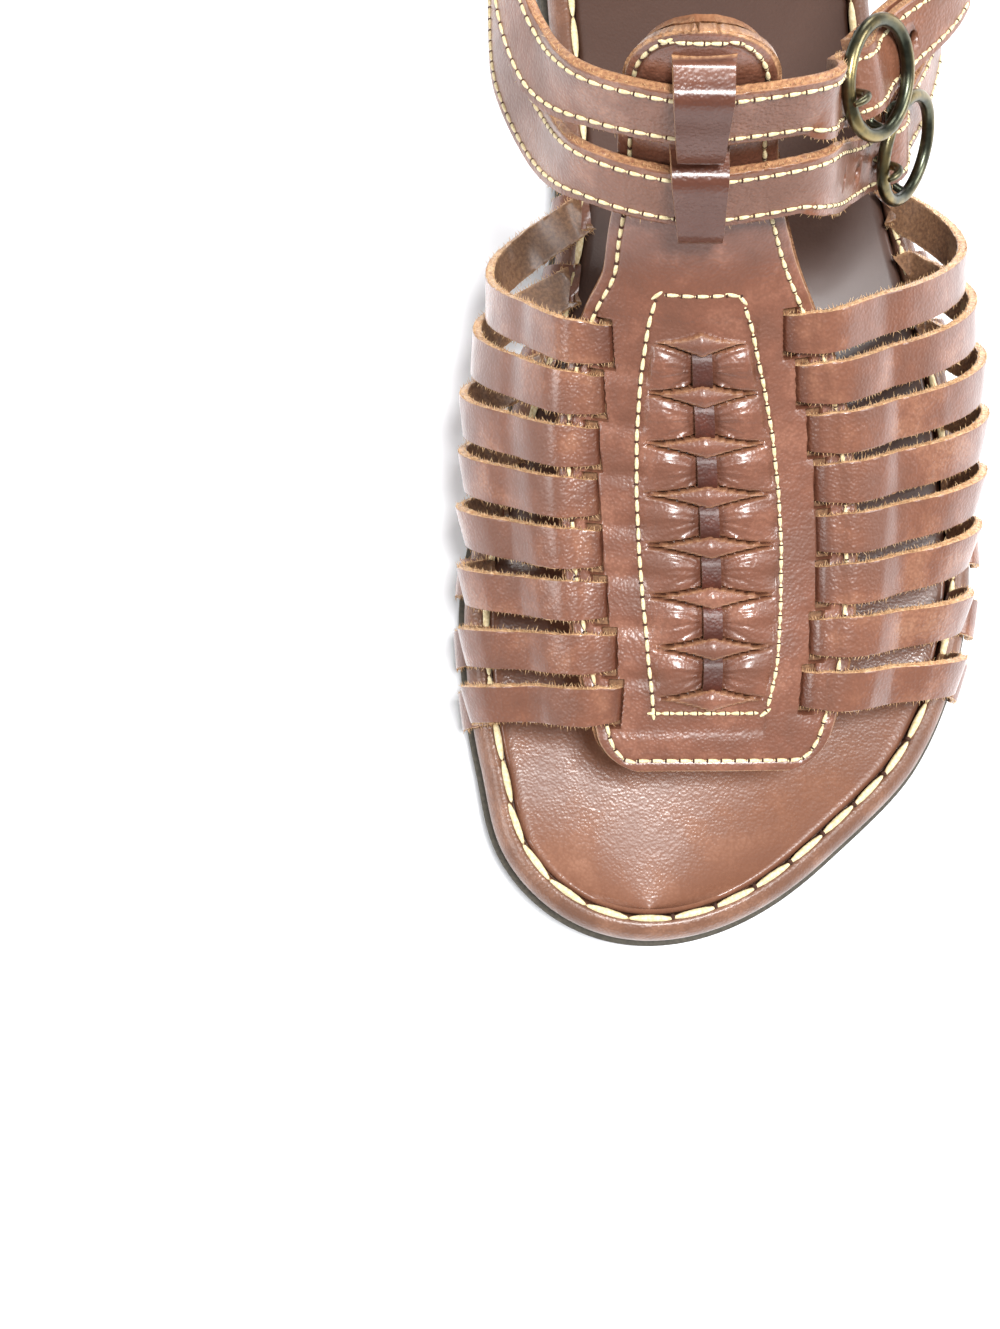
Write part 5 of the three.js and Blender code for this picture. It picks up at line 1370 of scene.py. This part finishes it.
# Seams and fibres
def panel_seams():
    """Lines of the border seam and the window's seam on the panel's face"""
    rows = np.linspace(BORDER_SEAM, PANEL_LENGTH - BORDER_SEAM, 260)
    left = [(a, BORDER_SEAM - float(panel_edge(a, -1))) for a in rows]
    right = [(a, float(panel_edge(a, 1)) - BORDER_SEAM) for a in rows]
    left = [p for p in left if p[1] < -1]
    right = [p for p in right if p[1] > 1]
    border = left[::-1] + right + left[-1:]
    way = np.linspace(WINDOW_STITCH[0][0], WINDOW_STITCH[-1][0], 60)
    half = window_half(way)
    window = list(zip(way, -half)) + list(zip(way[::-1], half[::-1]))
    made = []
    for line in (border, window + window[:1]):
        line = np.array(line)
        run = run_along(line)
        want = np.linspace(0, run[-1], int(run[-1] / 0.5))
        made.append(np.array([on_foot(a, x, PANEL_TOP - 0.1)[0] for a, x in read_rows(want, run, line)]))
    return made


def build_seams(materials, settings, stitches):
    tree = repeat_tree("stitches_along_a_line", False)
    lines = [every(line, SEAM_STEP) for line in panel_seams() + stitches]
    pitch = settings.stitch_pitch
    along_paths("fine_stitches", tree, lines, (pitch, pitch * STITCH_OVERLAP, settings.thread_thickness),
                materials["thread"])
    # Painted shade of the needle holes, half a stitch along the seams
    offset = [every(line, SEAM_STEP, pitch / 2) for line in lines]
    along_paths("needle_holes", tree, offset, (pitch, *FINE_HOLE), materials["hole"])


def build_rim_stitches(materials, settings):
    tree = bpy.data.node_groups.get("stitches_along_a_line")
    height = rim(RING_AT) + 0.05
    roots = [(root_share(share_along(strap_along(i, s)), s), s) for i in range(STRAP_COUNT) for s in (-1, 1)]
    for root, side in roots:
        over = (np.abs(RING_AT - root) * LENGTH < STRAP_WIDTH / 2 + 1) & (RING_SIDE == side)
        height = height + np.where(over, TAIL_THICK + 0.9, 0)
    kernel = np.ones(5) / 5
    height = np.convolve(np.concatenate([height[-2:], height, height[:2]]), kernel, "valid")
    line = sole_ring(RIM_WIDTH - 0.35, height)
    pitch = settings.rim_pitch
    along_paths("rim_stitches", tree, [line], (pitch, pitch * RIM_OVERLAP, RIM_THREAD), materials["cord"],
                closed=True)
    # Painted shade of the rim's needle holes, half a stitch along
    hole_line = every(np.vstack([line, line[:1]]), 0.5, pitch / 2)
    along_paths("rim_stitch_holes", tree, [hole_line], (pitch, *RIM_HOLE), materials["hole"])


def build_fibres(materials, settings, fuzz):
    tree = repeat_tree("hairs_on_a_cut_edge", True)
    lines = [line for line, _ in fuzz]
    outs = [out for _, out in fuzz]
    along_paths("cut_edge_fibres", tree, lines, (settings.fibre_spacing, settings.fibre_length, FIBRE_THICK),
                materials["fibre"], outs=outs, seed=7)


# The stage
def build_stage(settings):
    mesh = bpy.data.meshes.new("floor")
    corners = [(x * FLOOR_HALF, y * FLOOR_HALF, 0) for x, y in ((-1, -1), (1, -1), (1, 1), (-1, 1))]
    mesh.from_pydata(corners, [], [(0, 1, 2, 3)])
    floor = add_object("floor", mesh)
    material, tree = new_material("pale_matt_card")
    shader = add(tree, "ShaderNodeBsdfPrincipled", None, {"Base Color": linear("#F4F5F8"), "Roughness": 0.9})
    add(tree, "ShaderNodeOutputMaterial", None, {0: shader.outputs[0]})
    mesh.materials.append(material)
    world = bpy.data.worlds.new("studio")
    bpy.context.scene.world = world
    world.use_nodes = True
    sky = world.node_tree.nodes["Background"].inputs
    sky[0].default_value = (1.0, 0.99, 0.98, 1.0)
    sky[1].default_value = settings.sky_light
    for name, place, size, share in LAMPS:
        lamp = bpy.data.lights.new(name, "AREA")
        lamp.shape = "DISK"
        lamp.size = size
        lamp.energy = settings.key_light * share
        obj = add_object(name, lamp)
        obj.location = place
        obj.rotation_euler = (Vector(AIM) - Vector(place)).to_track_quat("-Z", "Y").to_euler()
    bpy.context.scene.view_settings.view_transform = "Standard"
    build_camera()


def build_camera():
    camera = bpy.data.cameras.new("photo_view")
    camera.sensor_fit = "VERTICAL"
    camera.sensor_height = SENSOR
    camera.lens = SENSOR * FOCAL_SHARE
    camera.clip_start = 0.01
    obj = add_object("photo_view", camera)
    obj.location = ((np.array(CAMERA_PLACE) + SHIFT) * MM).tolist()
    obj.rotation_euler = (math.radians(CAMERA_TIP), 0, 0)
    bpy.context.scene.camera = obj


# What a user sees
class SandalSettings(bpy.types.PropertyGroup):
    stitch_pitch: bpy.props.FloatProperty(
        name="Stitch pitch", description="Spacing of the fine stitches in millimetres",
        default=2.5, min=1, max=6)
    thread_thickness: bpy.props.FloatProperty(
        name="Thread", description="Thickness of the fine thread in millimetres",
        default=0.75, min=0.2, max=1.5)
    rim_pitch: bpy.props.FloatProperty(
        name="Rim stitch", description="Length of a rim stitch in millimetres", default=8.4, min=4, max=14)
    fibre_length: bpy.props.FloatProperty(
        name="Fibre length", description="Longest fibre on a cut edge in millimetres",
        default=1.1, min=0, max=3)
    fibre_spacing: bpy.props.FloatProperty(
        name="Fibre spacing", description="Spacing of the fibres in millimetres", default=0.7, min=0.2, max=5)
    key_light: bpy.props.FloatProperty(
        name="Key light", description="Power of the main softbox in watts", default=11.5, min=0, max=100)
    sky_light: bpy.props.FloatProperty(
        name="Sky light", description="Strength of the even light all round", default=0.33, min=0, max=5)


shared = {"stitches": [], "fuzz": [], "loops": {}, "materials": {}}


def finishes():
    if not shared["materials"]:
        shared["materials"].update(make_materials())
    return shared["materials"]


def ankle_loop(word):
    if word not in shared["loops"]:
        lower = (LOWER_ROUTE, LOWER_AT, LOWER_RING_ROUTE)
        upper = (UPPER_ROUTE, UPPER_AT, UPPER_RING_ROUTE)
        shared["loops"][word] = Loop(*(lower if word == "lower" else upper))
    return shared["loops"][word]


class SANDAL_OT_stage(bpy.types.Operator):
    """Pale floor, soft studio light and the photograph's camera"""
    bl_idname = "sandal.stage"
    bl_label = "Stage"

    def execute(self, context):
        build_stage(context.scene.sandal)
        return {"FINISHED"}


class SANDAL_OT_sole(bpy.types.Operator):
    """Outsole, leather-wrapped rand and footbed"""
    bl_idname = "sandal.sole"
    bl_label = "Sole"

    def execute(self, context):
        for build in (build_outsole, build_rand, build_footbed):
            build(finishes())
        return {"FINISHED"}


class SANDAL_OT_panel(bpy.types.Operator):
    """Centre panel with its bows, its lining and its lace"""
    bl_idname = "sandal.panel"
    bl_label = "Centre panel"

    def execute(self, context):
        for build in (build_panel, build_lining, build_lace):
            build(finishes())
        return {"FINISHED"}


class SANDAL_OT_side_straps(bpy.types.Operator):
    """Eight side straps on each side"""
    bl_idname = "sandal.side_straps"
    bl_label = "Side straps"

    def execute(self, context):
        build_side_straps(finishes(), shared["fuzz"])
        return {"FINISHED"}


class SANDAL_OT_ankle(bpy.types.Operator):
    """Two buckled ankle straps with their rings and the heel strap"""
    bl_idname = "sandal.ankle"
    bl_label = "Ankle straps"

    def execute(self, context):
        for word, holes in (("lower", (-12, -21)), ("upper", (-14.5, 12.5))):
            build_ankle(word, ankle_loop(word), holes, finishes(), shared["stitches"], shared["fuzz"])
        build_heel_strap(ankle_loop("lower"), ankle_loop("upper"), finishes(), shared["stitches"])
        return {"FINISHED"}


class SANDAL_OT_seams(bpy.types.Operator):
    """Fine seams, thick rim stitches and the fibres of the cut edges"""
    bl_idname = "sandal.seams"
    bl_label = "Seams and fibres"

    def execute(self, context):
        settings = context.scene.sandal
        build_seams(finishes(), settings, shared["stitches"])
        build_rim_stitches(finishes(), settings)
        build_fibres(finishes(), settings, shared["fuzz"])
        return {"FINISHED"}


class SANDAL_PT_panel(bpy.types.Panel):
    bl_label = "Gladiator sandal"
    bl_space_type = "VIEW_3D"
    bl_region_type = "UI"
    bl_category = "Sandal"

    def draw(self, context):
        settings = context.scene.sandal
        for name in ("stitch_pitch", "thread_thickness", "rim_pitch", "fibre_length", "fibre_spacing",
                     "key_light", "sky_light"):
            self.layout.prop(settings, name)
        for operator in OPERATORS:
            self.layout.operator(operator.bl_idname)


OPERATORS = (SANDAL_OT_stage, SANDAL_OT_sole, SANDAL_OT_panel, SANDAL_OT_side_straps, SANDAL_OT_ankle,
             SANDAL_OT_seams)
CLASSES = (SandalSettings,) + OPERATORS + (SANDAL_PT_panel,)


def register():
    for item in CLASSES:
        bpy.utils.register_class(item)
    bpy.types.Scene.sandal = bpy.props.PointerProperty(type=SandalSettings)


def unregister():
    del bpy.types.Scene.sandal
    for item in reversed(CLASSES):
        bpy.utils.unregister_class(item)


def main():
    register()
    for operator in OPERATORS:
        group, name = operator.bl_idname.split(".")
        getattr(getattr(bpy.ops, group), name)()


if __name__ == "__main__":
    main()
